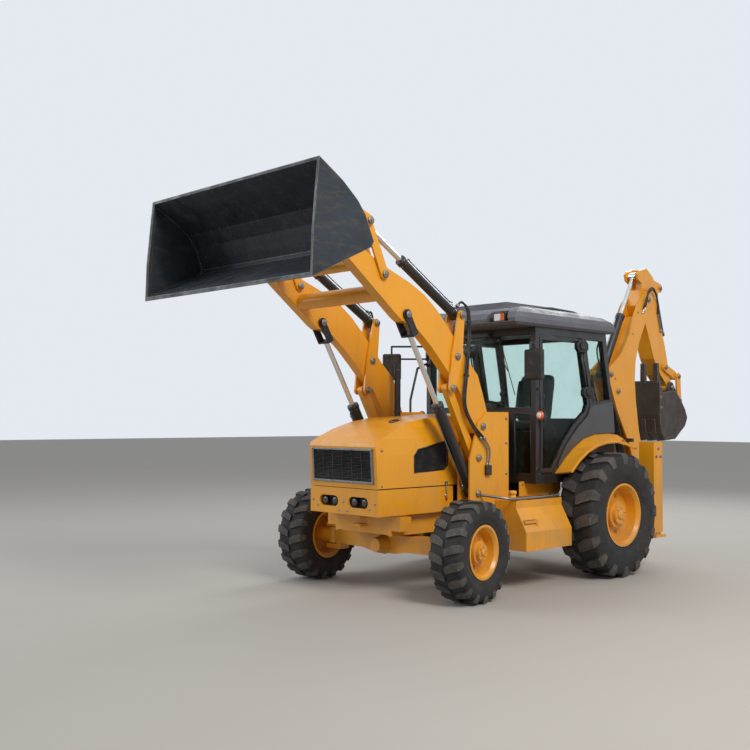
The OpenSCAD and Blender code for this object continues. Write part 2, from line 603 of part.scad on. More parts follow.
hood_shoulder = [[455, 1300], [445, 1450], [425, 1560], [380, 1645], [250, 1690], [0, 1704]];
module hood_shell(d) intersection() {
    side(-700, 700) polygon(concat([[hood_front_y + d, hood_seam_z - 1], [hood_front_y - 25 + d, 1380], [hood_front_y - 20 + d, 1410 - d]],
        [for (p = hood_profile) p - [0, d]], [[-1010 + d, hood_seam_z - 1]]));
    front(-3000, -900) polygon(concat([[-460 + d, hood_seam_z - 1]], [for (p = hood_shoulder) [-p[0] + min(d, p[0]), p[1] - d]],
        [for (i = [len(hood_shoulder) - 2 : -1 : 0]) [hood_shoulder[i][0] - d, hood_shoulder[i][1] - d]], [[460 - d, hood_seam_z - 1]]));
}
module hood() color("orange") placed() {
    hood_lugs();
    difference() {
        hood_shell(0);
        hood_shell(hood_t);
        translate([-1000, -3000, hood_seam_z - 20]) cube([2000, 3000, 21]);
        translate([-400, hood_front_y - 60, 1050]) cube([800, 120, 310]);
        both() side(400, 500) polygon([[-2400, 1130], [-2400, 1290], [-2340, 1350], [-1930, 1430], [-1930, 1200], [-1980, 1150]]);
        translate([-410, -1740, 1400]) cylinder(d = 64.2, h = 400);
    }
}
// Hinge of the hood at its rear end
hood_pin = [-1020, 1640];
module hood_lugs() both() {
    side(264, 276) polygon([[-1085, 1682], [-1012, 1682], [-1006, 1640], [-1020, 1624], [-1036, 1632]]);
    pin(hood_pin, 246, 265, 16);
}
module hood_brackets() both() side(250, 262) difference() {
    union() {
        translate(hood_pin) circle(d = 34);
        polygon([hood_pin + [2, 16], [cab_front_y, 1610], [cab_front_y, 1540], hood_pin + [-4, -16]]);
    }
    translate(hood_pin) circle(d = 16.2);
}
module grille() color("gray") placed() {
    for (z = [1062 : 24 : 1345]) translate([-399, hood_front_y - 10, z]) cube([798, 26, 10]);
    for (x = [-400, -205, -5, 195, 390]) translate([x, hood_front_y - 8, 1050]) cube([10, 22, 310]);
    translate([-410, -1740, 1420]) cylinder(d = 64, h = 780);
}
// Grab rail in front of the right door
rail_x = -cab_half - 8;
rail_end_x = -cab_half + 16;
rail_places = [[rail_end_x, cab_front_y - 0.3, 2240], [rail_end_x, cab_front_y - 40, 2240], [rail_x, -1072, 2190],
    [rail_x, -1183, 1840], [rail_x, -1183, 1480], [rail_end_x, cab_front_y - 40, 1405],
    [rail_end_x, cab_front_y - 0.3, 1405]];
// Mirrors on their arms, signal lamps and the roof's front lamps
module fittings() color("black") placed() {
    translate([cab_half - 25, -1100, 2025]) cube([225, 60, 310]);
    translate([cab_half - 22, -948, 2370]) cube([24, 18, 60]);
    stick([cab_half - 10, -945, 2400], [cab_half + 40, -1070, 2400], 22);
    stick([cab_half + 40, -1070, 2410], [cab_half + 40, -1070, 2300], 22);
    translate([-cab_half - 280, -1200, 2060]) rotate([0, 0, 35]) translate([-105, -30, 0]) cube([210, 60, 300]);
    translate([-cab_half - 2, -948, 2280]) cube([24, 18, 190]);
    stick([-cab_half + 10, -945, 2440], [-cab_half - 285, -1205, 2440], 22);
    stick([-cab_half - 280, -1200, 2450], [-cab_half - 280, -1200, 2340], 22);
    stick([-cab_half + 10, -945, 2300], [-cab_half - 210, -1150, 2300], 20);
    both() translate([cab_half + 10, -975, 1625]) cube([110, 50, 100]);
    both() translate([cab_half - 15, -950, 1660]) cube([30, 20, 30]);
    both() translate([cab_half - 250, -1300, roof_z + 33]) cube([150, 70, 92]);
    for (i = [0 : len(rail_places) - 2]) stick(rail_places[i], rail_places[i + 1], 26);
    for (i = [1 : len(rail_places) - 2]) translate(rail_places[i] - [17, 0, 0]) rotate([0, 90, 0])
        cylinder(d = 36, h = 34);
}

// Rear frame, on which the backhoe slides from side to side
rail_bar_h = 110;
top_rail_z = 960;
low_rail_z = 430;
stab_box = 180;
module rear_frame() color("darkorange") placed() {
    for (z = [low_rail_z, top_rail_z]) translate([-stab_x + stab_box / 2 - 5, frame_y + 2, z]) cube([2 * stab_x - stab_box + 10, 86, rail_bar_h]);
    both() difference() {
        translate([stab_x - stab_box / 2, frame_y, stab_low_z]) cube([stab_box, stab_box, stab_top_z - stab_low_z]);
        translate([stab_x - stab_box / 2 + 15, frame_y + 15, stab_low_z - 1]) cube([stab_box - 30, stab_box - 30, stab_top_z - stab_low_z - 40]);
    }
    both() translate([rail_span / 2 - 100, frame_y, low_rail_z + 40]) cube([100, 86, top_rail_z - low_rail_z]);
}
module stabiliser() {
    leg = stab_box - 30.6;
    translate([stab_x - leg / 2, frame_y + 15.3, stab_low_z - 20]) cube([leg, leg, stab_top_z - stab_low_z - 100]);
    translate([stab_x - 120, frame_y - 15, stab_low_z - 50]) cube([240, 210, 30]);
}
module stabiliser_left() color("orange") placed() stabiliser();
module stabiliser_right() color("orange") placed() mirror([1, 0, 0]) stabiliser();

// Backhoe
module carriage() color("darkorange") placed() translate([shift_x, 0, 0]) difference() {
    union() {
        translate([-300, frame_y + 88.3, low_rail_z - 30]) cube([600, 51, top_rail_z + rail_bar_h - low_rail_z + 60]);
        for (z = [470, 880]) {
            translate([-110, frame_y + 139, z]) cube([220, slew_y - frame_y - 139, 50]);
            translate([0, slew_y, z]) cylinder(d = 220, h = 50);
        }
        translate([-300, frame_y - 28, top_rail_z + rail_bar_h + 0.3]) cube([600, 120, 29.7]);
        translate([-300, frame_y - 28, top_rail_z + 30]) cube([600, 25, rail_bar_h]);
    }
    translate([0, slew_y, 460]) cylinder(d = 70.2, h = 600);
}
kingpost_plate = [[slew_y + 60, 530], [1420, 700], [1490, 800], [1400, 890], [1210, 1070], [1130, 1070], [1090, 1010],
    [1100, 945], [slew_y + 125, 945], [slew_y + 125, 868], [slew_y + 60, 868]];
module kingpost() color("orange") placed() translate([shift_x, 0, 0]) {
    translate([0, slew_y, 523]) cylinder(d = 150, h = 354);
    translate([0, slew_y, 460]) cylinder(d = 70, h = 480);
    translate([-150, slew_y + 60, 530]) cube([300, 60, 330]);
    for (x = [-166, 140]) side(x, x + 26) polygon(kingpost_plate);
    pin(boom_base_pin, -150, 150, pin_d);
    pin(boom_pin, -176, 176, 60);
    both() pin(boom_base_pin, 52, 150, 80);
}
boom_half = 125;
web_half = 101;
boom_outline = [[1320, 800], [1240, 1000], [1095, 1340], [835, 1740], [690, 2050], [650, 2200], [730, 2250], [945, 2400],
    [1115, 2640], [1175, 2790], [1300, 3000], [1450, 3140], [1630, 3060], [1500, 2850], [1325, 2560], [1235, 2320],
    [1215, 2080], [1235, 1860], [1295, 1510], [1390, 1220], [1480, 830], [1400, 720]];
boom_core = [[1330, 900], [1240, 1150], [1120, 1500], [1040, 1860], [1030, 2100], [1060, 2320], [1150, 2540], [1340, 2860],
    [1470, 2830], [1315, 2560], [1225, 2320], [1205, 2080], [1225, 1860], [1285, 1510], [1380, 1220], [1440, 900]];
module boom() color("orange") placed() translate([shift_x, 0, 0]) {
    difference() {
        union() {
            for (x = [-boom_half, web_half]) side(x, x + boom_half - web_half) {
                polygon(boom_outline);
                translate(dipper_base_pin) circle(d = 150);
                translate(dipper_pin) circle(d = 220);
                translate(boom_pin) circle(d = 180);
            }
            side(-web_half - 5, web_half + 5) polygon(boom_core);
            pin(boom_pin, -web_half, web_half, 150);
        }
        pin(boom_pin, -200, 200, 60.2);
    }
    for (p = [dipper_base_pin, dipper_pin]) pin(p, -boom_half - 12, boom_half + 12, pin_d);
    both() pin(dipper_base_pin, 50, web_half + 1, 84);
    both() pin(boom_top_pin, 50, boom_half + 12, pin_d);
    both() pin(boom_top_pin, 50, web_half + 1, 84);
}
module boom_barrel() color("black") placed() barrel(boom_base_pin, boom_top_pin, shift_x, 760, 100, 92);
module boom_rod() color("silver") placed() rod(boom_base_pin, boom_top_pin, shift_x, 880, 88);
dipper_half = 95;
dig_base_pin = [1850, 3240];
guide_pin = [1910, 2275];
rod_pin = [2185, 2170];
dig_link_pin = [2205, 1870];
dipper_outline = [[1440, 3180], [1440, 3300], [1530, 3440], [1560, 3440], [1700, 3350], [1800, 2950], [1960, 2530],
    [2080, 2130], [2120, 2020], [2050, 1970], [1960, 2090], [1850, 2180], [1700, 2370], [1480, 2860], [1420, 3000]];
module dipper() color("orange") placed() translate([shift_x, 0, 0]) {
    difference() {
        union() {
            side(-dipper_half, dipper_half) polygon(dipper_outline);
            pin(dipper_pin, -dipper_half, dipper_half, 190);
            pin(dig_pin, -dipper_half, dipper_half, 140);
            for (x = [-dipper_half, dipper_half - 24]) side(x, x + 24) {
                polygon([[1360, 3300], [1340, 3370], [1390, 3410], [1530, 3450], [1560, 3440], [1560, 3200]]);
                bar([1700, 3240], dig_base_pin, 170, 110);
            }
        }
        pin(dipper_pin, -200, 200, bore_d);
        pin(dig_pin, -200, 200, bore_d);
        side(-50, 50) polygon([[1300, 3185], [1492, 3185], [1492, 3345], [1530, 3425], [1300, 3480]]);
    }
    both() pin(dipper_top_pin, 50, dipper_half, 84);
    both() pin(dipper_top_pin, dipper_half - 2, dipper_half + 2, pin_d);
    pin(dig_base_pin, -dipper_half - 12, dipper_half + 12, pin_d);
    both() pin(dig_base_pin, 46, dipper_half - 10, 84);
    pin(guide_pin, -dipper_half - 46, dipper_half + 46, pin_d);
}
module dipper_barrel() color("black") placed() barrel(dipper_base_pin, dipper_top_pin, shift_x, 820, 96, 92);
module dipper_rod() color("silver") placed() rod(dipper_base_pin, dipper_top_pin, shift_x, 820, 88);
module bucket_barrel() color("black") placed() barrel(dig_base_pin, rod_pin, shift_x, 600, 86, 84);
module bucket_rod() color("silver") placed() rod(dig_base_pin, rod_pin, shift_x, 630, 80);
guide_in = dipper_half + 4;
guide_t = 24;
module guide_links() color("orange") placed() translate([shift_x, 0, 0]) difference() {
    both() {
        side(guide_in, guide_in + guide_t) bar(guide_pin, rod_pin, 90, 90);
        pin(rod_pin, guide_in, guide_in + 2 * guide_t + 14, pin_d);
        pin(rod_pin, 46, guide_in + 1, 84);
    }
    pin(guide_pin, -300, 300, bore_d);
}
module tipping_link() color("orange") placed() translate([shift_x, 0, 0]) both() difference() {
    union() {
        side(guide_in + guide_t + 4, guide_in + 2 * guide_t + 4) bar(rod_pin, dig_link_pin, 90, 90);
        pin(dig_link_pin, guide_in + guide_t + 4, guide_in + 2 * guide_t + 14, pin_d);
    }
    pin(rod_pin, -300, 300, bore_d);
}
dig_outer = [[1990, 1985], [2110, 1880], [2215, 1760], [2265, 1660], [2210, 1560], [2085, 1480], [1965, 1400], [1735, 1390],
    [1640, 1480], [1612, 1700], [1605, 2100], [1630, 2100], [1640, 1960]];
dig_inner = [[1980, 1995], [2095, 1865], [2195, 1750], [2238, 1660], [2190, 1580], [2070, 1502], [1955, 1424], [1745, 1414],
    [1664, 1490], [1636, 1700], [1630, 1960], [1640, 2200]];
module digging_bucket() color("dimgray") placed() translate([shift_x, 0, 0]) {
    side(-dig_w / 2, dig_w / 2) difference() {
        polygon(dig_outer);
        polygon(dig_inner);
    }
    for (s = [-1, 1]) side(s * (dig_w / 2 - 9) - 9, s * (dig_w / 2 - 9) + 9) polygon(dig_outer);
    for (x = [-170, 0, 170]) translate([x - 32, 1600, 2080]) cube([64, 34, 230]);
    both() side(guide_in, guide_in + guide_t) polygon([[1985, 1950], [1980, 2040], [2030, 2100], [2090, 2090], [2255, 1890],
        [2235, 1720], [2120, 1820]]);
    pin(dig_pin, -guide_in - guide_t - 10, guide_in + guide_t + 10, pin_d);
    pin(dig_link_pin, -guide_in - 10, guide_in + 10, pin_d + 20);
}

chassis();
engine();
axles();
towers();
cab_frame();
quarter_panels();
cab_roof();
cab_glass();
seat();
controls();
fenders();
lower_bodywork();
rear_frame();
fittings();
hood();
grille();
door_left();
door_right();
door_glass_left();
door_glass_right();
knuckle(1);  // knuckle_left
knuckle(-1);  // knuckle_right
steering_rod();
tyre_front(1);  // tyre_front_left
tyre_front(-1);  // tyre_front_right
tyre_rear(1);  // tyre_rear_left
tyre_rear(-1);  // tyre_rear_right
rim_front(1);  // rim_front_left
rim_front(-1);  // rim_front_right
rim_rear(1);  // rim_rear_left
rim_rear(-1);  // rim_rear_right
loader_arms();
levelling_links();
bellcranks();
tilt_pins();
tilt_barrels();
tilt_rods();
lever_pins();
tipping_levers();
link_pins();
bucket_links();
bucket_pins();
loader_bucket();
lift_barrels();
lift_rods();
carriage();
kingpost();
boom();
boom_barrel();
boom_rod();
dipper();
dipper_barrel();
dipper_rod();
digging_bucket();
bucket_barrel();
bucket_rod();
guide_links();
tipping_link();
stabiliser_left();
stabiliser_right();
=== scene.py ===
# Looks of the backhoe loader: materials, lugs, hoses, lamps and trim on the fixed frame
import itertools
import bmesh
import bpy
from math import copysign, cos, pi, radians, sin
from mathutils import Matrix, Vector


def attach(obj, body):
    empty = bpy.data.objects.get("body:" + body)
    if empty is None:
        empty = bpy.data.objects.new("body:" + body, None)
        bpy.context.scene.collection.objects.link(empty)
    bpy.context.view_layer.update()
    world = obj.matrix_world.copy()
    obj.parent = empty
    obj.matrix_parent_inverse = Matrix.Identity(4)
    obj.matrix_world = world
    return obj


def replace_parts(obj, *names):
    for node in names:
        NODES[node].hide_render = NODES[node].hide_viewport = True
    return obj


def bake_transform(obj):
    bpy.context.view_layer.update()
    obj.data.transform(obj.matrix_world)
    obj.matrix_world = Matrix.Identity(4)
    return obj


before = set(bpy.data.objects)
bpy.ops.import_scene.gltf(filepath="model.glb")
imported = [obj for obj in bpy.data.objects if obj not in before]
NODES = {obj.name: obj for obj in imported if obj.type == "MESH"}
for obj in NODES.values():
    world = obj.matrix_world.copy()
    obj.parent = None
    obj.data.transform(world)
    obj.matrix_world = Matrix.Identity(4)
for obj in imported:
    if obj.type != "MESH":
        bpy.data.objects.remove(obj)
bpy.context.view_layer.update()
scene = bpy.context.scene
AXLE_Y = 1.0
BOTH = (1, -1)
SIDES = ((1, "left"), (-1, "right"))
FORWARD = (0, -1, 0)
UP = (0, 0, 1)


# Small helpers for places and shapes
def pt(x, y, z):
    """A place measured from the rear axle in millimetres, as metres in the frame."""
    return Vector((x / 1000, y / 1000 + AXLE_Y, z / 1000))


def from_axle(v):
    """The other way: a place in the frame, in millimetres from the rear axle."""
    return (v.x * 1000, (v.y - AXLE_Y) * 1000, v.z * 1000)


def turns(n):
    """The angles of n even steps round a circle."""
    return [2 * pi * k / n for k in range(n)]


def about_x(angle):
    return Matrix.Rotation(angle, 4, "X")


def mesh_object(name, bm, *materials):
    """An object in the scene from a finished bmesh, with its faces turned outwards."""
    bmesh.ops.recalc_face_normals(bm, faces=bm.faces)
    mesh = bpy.data.meshes.new(name)
    bm.to_mesh(mesh)
    bm.free()
    obj = bpy.data.objects.new(name, mesh)
    scene.collection.objects.link(obj)
    for material in materials:
        mesh.materials.append(material)
    return obj


def round_edges(obj, width, segments=2, sharpest=30):
    mod = obj.modifiers.new("edges", "BEVEL")
    mod.width = width
    mod.segments = segments
    mod.limit_method = "ANGLE"
    mod.angle_limit = radians(sharpest)


class Shape:
    """Collects faces for one piece, then makes the object."""

    def __init__(self, name, material, body="machine", slot=None):
        self.name = name
        self.material = material
        self.body = body
        self.slot = slot
        self.bm = bmesh.new()

    def add(self, verts, faces, smooth=False):
        made = [self.bm.verts.new(v) for v in verts]
        for f in faces:
            self.bm.faces.new([made[i] for i in f]).smooth = smooth

    def skin(self, rows, smooth=True, closed=True):
        """Faces along rows of places of one length, and over both ends if closed."""
        n = len(rows[0])
        last = n * (len(rows) - 1)
        faces = [(i + k, i + (k + 1) % n, i + n + (k + 1) % n, i + n + k)
                 for i in range(0, last, n) for k in range(n)]
        if closed:
            faces += [tuple(range(n - 1, -1, -1)), tuple(range(last, last + n))]
        self.add([v for row in rows for v in row], faces, smooth)

    def box(self, low, high, turn=None, about=None):
        """A box between two corners in millimetres, turned by a matrix about a place if given."""
        corners = [pt(*place) for place in itertools.product(*zip(low, high))]
        if turn is not None:
            o = pt(*about)
            corners = [o + turn @ (c - o) for c in corners]
        self.add(corners, [(0, 1, 3, 2), (4, 6, 7, 5), (0, 4, 5, 1), (2, 3, 7, 6), (0, 2, 6, 4),
                           (1, 5, 7, 3)])

    def ring(self, centre, axis, radii, heights, n=24, smooth=True, closed=True):
        """A turned form along an axis: each radius at its height, in millimetres."""
        c = pt(*centre)
        z = Vector(axis).normalized()
        x = z.orthogonal().normalized()
        y = z.cross(x)
        self.skin([[c + z * (h / 1000) + (x * cos(t) + y * sin(t)) * (r / 1000) for t in turns(n)]
                   for r, h in zip(radii, heights)], smooth, closed)

    def rod(self, p, q, d, n=16):
        """A round rod between two places in millimetres, with chamfered ends."""
        v = Vector(q) - Vector(p)
        length = v.length
        c = min(d * 0.08, 2.5)
        self.ring(p, v, (d / 2 - c, d / 2, d / 2, d / 2 - c), (0, c, length - c, length), n)

    def bolt(self, p, axis, d=24, h=14):
        """A hexagon head on a washer."""
        self.ring(p, axis, (d * 0.75, d * 0.75), (0, 3), 20)
        self.ring(p, axis, (d / 2 + 1, d / 2 + 1, d / 2 - 2), (3, h - 2, h), 6, smooth=False)

    def tube(self, places, d, n=12, steps=10):
        """A hose or pipe through places in millimetres, on one smooth curve."""
        path = spline([pt(*p) for p in places], steps)
        side = (path[1] - path[0]).normalized().orthogonal().normalized()
        rows = []
        for i, p in enumerate(path):
            t = (path[min(i + 1, len(path) - 1)] - path[max(i - 1, 0)]).normalized()
            side = (side - t * side.dot(t)).normalized()
            up = t.cross(side)
            rows.append([p + (side * cos(w) + up * sin(w)) * (d / 2000) for w in turns(n)])
        self.skin(rows)

    def prism(self, outline, x0, x1):
        """An outline of (y, z) in millimetres, extruded along X."""
        n = len(outline)
        verts = [pt(x, y, z) for x in (x0, x1) for y, z in outline]
        faces = [tuple(range(n - 1, -1, -1)), tuple(range(n, 2 * n))]
        faces += [(k, (k + 1) % n, n + (k + 1) % n, n + k) for k in range(n)]
        self.add(verts, faces)

    def done(self, bevel=0.0, segments=2, bend=None):
        """The object, on its body, or with its place baked into its mesh and on no body when bend is given.
        """
        obj = mesh_object(self.name, self.bm, self.material)
        if bevel:
            round_edges(obj, bevel, segments)
        if bend:
            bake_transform(obj)
        else:
            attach(obj, self.body)
        return obj


def spline(pts, steps):
    """A smooth line through all places."""
    out = []
    for i in range(len(pts) - 1):
        p0 = pts[max(i - 1, 0)]
        p1 = pts[i]
        p2 = pts[i + 1]
        p3 = pts[min(i + 2, len(pts) - 1)]
        for k in range(steps):
            t = k / steps
            out.append(0.5 * (2 * p1 + (p2 - p0) * t + (2 * p0 - 5 * p1 + 4 * p2 - p3) * t * t
                              + (3 * p1 - p0 - 3 * p2 + p3) * t ** 3))
    out.append(pts[-1])
    return out


# Materials
def srgb(*levels):
    """A linear colour from red, green and blue levels of 0 to 255."""
    shares = [c / 255 for c in levels]
    return tuple(c / 12.92 if c <= 0.04045 else ((c + 0.055) / 1.055) ** 2.4 for c in shares) + (1.0,)


def darker(colour, share):
    return tuple(c * share for c in colour[:3]) + (1.0,)


def shader_node(tree, kind, inputs=None, **settings):
    """A shader node with its settings; each input gets a value, or a link from a socket."""
    n = tree.nodes.new("ShaderNode" + kind)
    for key, value in settings.items():
        setattr(n, key, value)
    for key, value in (inputs or {}).items():
        if isinstance(value, bpy.types.NodeSocket):
            tree.links.new(value, n.inputs[key])
        else:
            n.inputs[key].default_value = value
    return n


class Look:
    """A material with named steps for colour, roughness and relief."""

    def __init__(self, name, colour, rough=0.5, metal=0.0):
        self.material = bpy.data.materials.new(name)
        self.material.use_nodes = True
        self.material.diffuse_color = colour
        self.tree = self.material.node_tree
        self.tree.nodes.clear()
        inputs = {"Base Color": colour, "Roughness": rough, "Metallic": metal}
        self.surface = self.node("BsdfPrincipled", inputs)
        self.node("OutputMaterial", {0: self.surface.outputs[0]})
        self.coord = self.node("TexCoord").outputs["Object"]
        self.colour = self.node("RGB").outputs[0]
        self.colour.default_value = colour

    def node(self, kind, inputs=None, **settings):
        return shader_node(self.tree, kind, inputs, **settings)

    def noise(self, scale, detail, rough=0.55, stretch=None):
        place = self.coord
        if stretch:
            place = self.node("Mapping", {0: place, "Scale": stretch}).outputs[0]
        inputs = {"Vector": place, "Scale": scale, "Detail": detail, "Roughness": rough}
        return self.node("TexNoise", inputs).outputs["Fac"]

    def ramp(self, value, lo, hi, a=0.0, b=1.0):
        """The value taken from lo and hi to a and b, and held beyond them."""
        inputs = {0: value, "From Min": lo, "From Max": hi, "To Min": a, "To Max": b}
        return self.node("MapRange", inputs, clamp=True).outputs[0]

    def times(self, a, b):
        return self.node("Math", {0: a, 1: b}, operation="MULTIPLY", use_clamp=True).outputs[0]

    def low(self, z0, z1):
        """1 at the height z0, 0 at z1, in metres."""
        return self.ramp(self.node("SeparateXYZ", {0: self.coord}).outputs["Z"], z0, z1, 1.0, 0.0)

    def near(self, y, z, reach, blur=0.002):
        """1 within reach of the line along X through that place, in metres."""
        flat = self.node("VectorMath", {0: self.coord, 1: (0, 1, 1)}, operation="MULTIPLY").outputs[0]
        far = self.node("VectorMath", {0: flat, 1: (0, y, z)}, operation="DISTANCE").outputs["Value"]
        return self.ramp(far, reach - blur, reach + blur, 1.0, 0.0)

    def rounded(self, radius):
        return self.node("Bevel", {"Radius": radius}, samples=4).outputs[0]

    def edge(self, radius, turned, start=0.01):
        """1 on sharp outer edges, by how far a rounded normal turns from the true one."""
        true = self.node("NewGeometry").outputs["Normal"]
        dot = self.node("VectorMath", {0: self.rounded(radius), 1: true}, operation="DOT_PRODUCT")
        return self.ramp(dot.outputs["Value"], 1 - start, 1 - turned)

    def tint(self, share, colour):
        """Mixes a share of another colour into the one so far."""
        inputs = {0: share, 6: self.colour, 7: colour}
        self.colour = self.node("Mix", inputs, data_type="RGBA").outputs[2]

    def patches(self, colour, share, lo, hi, *noise):
        """Another colour where a noise lies above lo, at its full share from hi on."""
        self.tint(self.ramp(self.noise(*noise), lo, hi, 0.0, share), colour)

    def rough(self, value):
        self.tree.links.new(value, self.surface.inputs["Roughness"])

    def uneven(self, a, b, lo, hi, *noise):
        """Roughness from a to b where a noise goes from lo to hi."""
        self.rough(self.ramp(self.noise(*noise), lo, hi, a, b))

    def relief(self, value, strength, distance, soft=0.0):
        """Bumps by a value, over edges that look rounded by the soft radius."""
        inputs = {"Strength": strength, "Distance": distance, "Height": value}
        if soft:
            inputs["Normal"] = self.rounded(soft)
        self.tree.links.new(self.node("Bump", inputs).outputs[0], self.surface.inputs["Normal"])

    def made(self):
        self.tree.links.new(self.colour, self.surface.inputs["Base Color"])
        return self.material


DUST = srgb(150, 128, 100)
SOIL = srgb(84, 66, 50)


def painted(name, colour, rough=0.36, wear=srgb(92, 80, 68), dust=0.5):
    """Sprayed paint with faded patches, streaks, dust low down and chipped edges."""
    k = Look(name, colour, rough)
    k.surface.inputs["Coat Weight"].default_value = 0.35
    k.surface.inputs["Coat Roughness"].default_value = 0.22
    k.patches(darker(colour, 0.72), 0.22, 0.35, 0.7, 1.3, 4)
    k.patches(darker(colour, 0.6), 0.3, 0.52, 0.74, 9.0, 5, 0.6, (1.0, 1.0, 0.16))
    splashed = k.times(k.low(0.25, 1.35), k.ramp(k.noise(3.2, 6, 0.65), 0.38, 0.68))
    k.tint(k.times(splashed, dust), DUST)
    spots = k.times(k.ramp(k.noise(70.0, 2), 0.66, 0.72), k.low(0.3, 2.0))
    k.tint(k.times(spots, dust * 0.8), DUST)
    chips = k.times(k.edge(0.006, 0.12), k.ramp(k.noise(38.0, 4), 0.5, 0.62))
    k.tint(k.times(chips, 0.5), wear)
    k.uneven(rough - 0.08, rough + 0.2, 0.3, 0.75, 5.0, 5)
    k.relief(k.noise(240.0, 2), 0.12, 0.0006, 0.004)
    return k.made()


def roof_plastic():
    # The base colour is partly the roof's own dark grey and partly a painted bluish sheen of the sky, lighter
    # and bluer all over.
    k = Look("roof plastic with painted sheen", srgb(98, 99, 108), 0.55)
    k.patches(srgb(62, 57, 60), 0.35, 0.35, 0.7, 1.6, 4)
    k.patches(DUST, 0.3, 0.55, 0.75, 26.0, 5, 0.7)
    k.uneven(0.46, 0.7, 0.3, 0.7, 7.0, 4)
    k.relief(k.noise(420.0, 2), 0.2, 0.0006, 0.006)
    return k.made()


def rubber():
    k = Look("tyre rubber", srgb(34, 33, 34), 0.7)
    k.patches(srgb(70, 62, 54), 0.35, 0.45, 0.72, 2.5, 5, 0.65)
    k.patches(srgb(92, 80, 66), 0.35, 0.55, 0.75, 24.0, 6, 0.7)
    k.uneven(0.62, 0.9, 0.3, 0.7, 8.0, 4)
    k.relief(k.noise(160.0, 5, 0.7), 0.5, 0.0018, 0.005)
    return k.made()


def lug_rubber():
    k = Look("dusty lugs", srgb(60, 58, 57), 0.75)
    k.patches(srgb(96, 90, 83), 0.7, 0.4, 0.66, 3.0, 5, 0.65)
    k.patches(srgb(122, 112, 98), 0.5, 0.5, 0.7, 30.0, 6, 0.7)
    worn = k.times(k.edge(0.01, 0.14), k.ramp(k.noise(12.0, 3), 0.35, 0.7, 0.2, 0.7))
    k.tint(worn, srgb(140, 130, 114))
    k.uneven(0.66, 0.92, 0.3, 0.7, 8.0, 4)
    k.relief(k.noise(110.0, 6, 0.75), 0.6, 0.0022, 0.005)
    return k.made()


def bucket_steel(name, colour, inner):
    k = Look(name, colour, 0.5, 0.25)
    k.patches(inner, 0.6, 0.4, 0.66, 2.4, 6, 0.65)
    k.patches(srgb(96, 82, 66), 0.5, 0.5, 0.72, 11.0, 6, 0.7, (1.0, 0.4, 1.6))
    worn = k.times(k.edge(0.012, 0.1), k.ramp(k.noise(9.0, 3), 0.3, 0.6, 0.3, 0.8))
    k.tint(worn, srgb(150, 146, 140))
    k.uneven(0.34, 0.72, 0.3, 0.7, 6.0, 5)
    k.relief(k.noise(60.0, 6, 0.7, (1.0, 0.5, 1.0)), 0.35, 0.0025, 0.005)
    return k.made()


def metal(name, colour, rough, dirt):
    k = Look(name, colour, rough, 1.0)
    k.patches(SOIL, dirt, 0.5, 0.74, 14.0, 5, 0.65)
    k.uneven(max(rough - 0.05, 0.05), rough + 0.16, 0.3, 0.75, 22.0, 4)
    k.relief(k.noise(300.0, 2), 0.08, 0.0004, 0.002)
    return k.made()


def forked_rod():
    """Chrome, with a black cast fork round the lift cylinders' upper pins."""
    k = Look("lift rod", srgb(222, 220, 216), 0.18, 1.0)
    fork = k.near(-1.690, 2.572, 0.213)
    k.tint(fork, srgb(30, 30, 31))
    k.tint(k.times(fork, k.ramp(k.noise(26.0, 5, 0.7), 0.52, 0.72, 0.0, 0.4)), SOIL)
    k.tree.links.new(k.ramp(fork, 0.0, 1.0, 1.0, 0.0), k.surface.inputs["Metallic"])
    k.rough(k.ramp(fork, 0.0, 1.0, 0.18, 0.45))
    return k.made()


def plain(name, colour, rough, grain, dirt, bump=0.25):
    k = Look(name, colour, rough)
    k.patches(DUST, dirt, 0.48, 0.74, 12.0, 5, 0.65)
    k.patches(darker(colour, 0.6), 0.25, 0.35, 0.7, 2.0, 3)
    k.uneven(rough - 0.08, min(rough + 0.14, 1.0), 0.3, 0.7, 9.0, 4)
    k.relief(k.noise(grain, 3), bump, 0.0008, 0.003)
    return k.made()


def glass():
    k = Look("tinted glass", srgb(226, 242, 238), 0.03)
    k.surface.inputs["Transmission Weight"].default_value = 1.0
    k.surface.inputs["IOR"].default_value = 1.12
    k.patches(srgb(206, 222, 216), 0.2, 0.45, 0.72, 6.0, 5, 0.6)
    k.uneven(0.02, 0.16, 0.45, 0.8, 10.0, 5)
    return k.made()


def lens(name, colour, rough=0.12):
    k = Look(name, colour, rough)
    k.surface.inputs["Coat Weight"].default_value = 0.6
    k.relief(k.node("TexWave", {"Scale": 60.0, "Vector": k.coord}).outputs["Fac"], 0.4, 0.001)
    k.patches(DUST, 0.2, 0.5, 0.75, 30.0, 4)
    return k.made()


YELLOW = painted("yellow paint", srgb(234, 158, 20))
BLACK = painted("black paint", srgb(24, 24, 26), 0.4, srgb(96, 94, 92), 0.2)
PANEL = painted("dark grey panel", srgb(62, 63, 66), 0.42, srgb(40, 40, 40), 0.3)
ROOF = roof_plastic()
RUBBER = rubber()
LUGS = lug_rubber()
LOADER_STEEL = bucket_steel("loader bucket steel", srgb(46, 56, 64), srgb(30, 32, 34))
DIG_STEEL = bucket_steel("digging bucket steel", srgb(74, 66, 60), srgb(48, 42, 38))
CHROME = metal("chromed rod", srgb(222, 220, 216), 0.16, 0.1)
LIFT_ROD = forked_rod()
STEEL = metal("bare steel", srgb(150, 148, 144), 0.34, 0.45)
ALLOY = metal("dull alloy", srgb(128, 130, 130), 0.45, 0.35)
IRON = plain("cast iron", srgb(58, 58, 60), 0.6, 200.0, 0.4)
HOSE = plain("hose rubber", srgb(24, 24, 25), 0.5, 500.0, 0.3)
TRIM = plain("black plastic", srgb(30, 30, 32), 0.5, 500.0, 0.2)
SEAT = plain("seat fabric", srgb(58, 60, 64), 0.85, 700.0, 0.1, 0.6)
GLASS = glass()
AMBER = lens("amber lens", srgb(232, 92, 22))
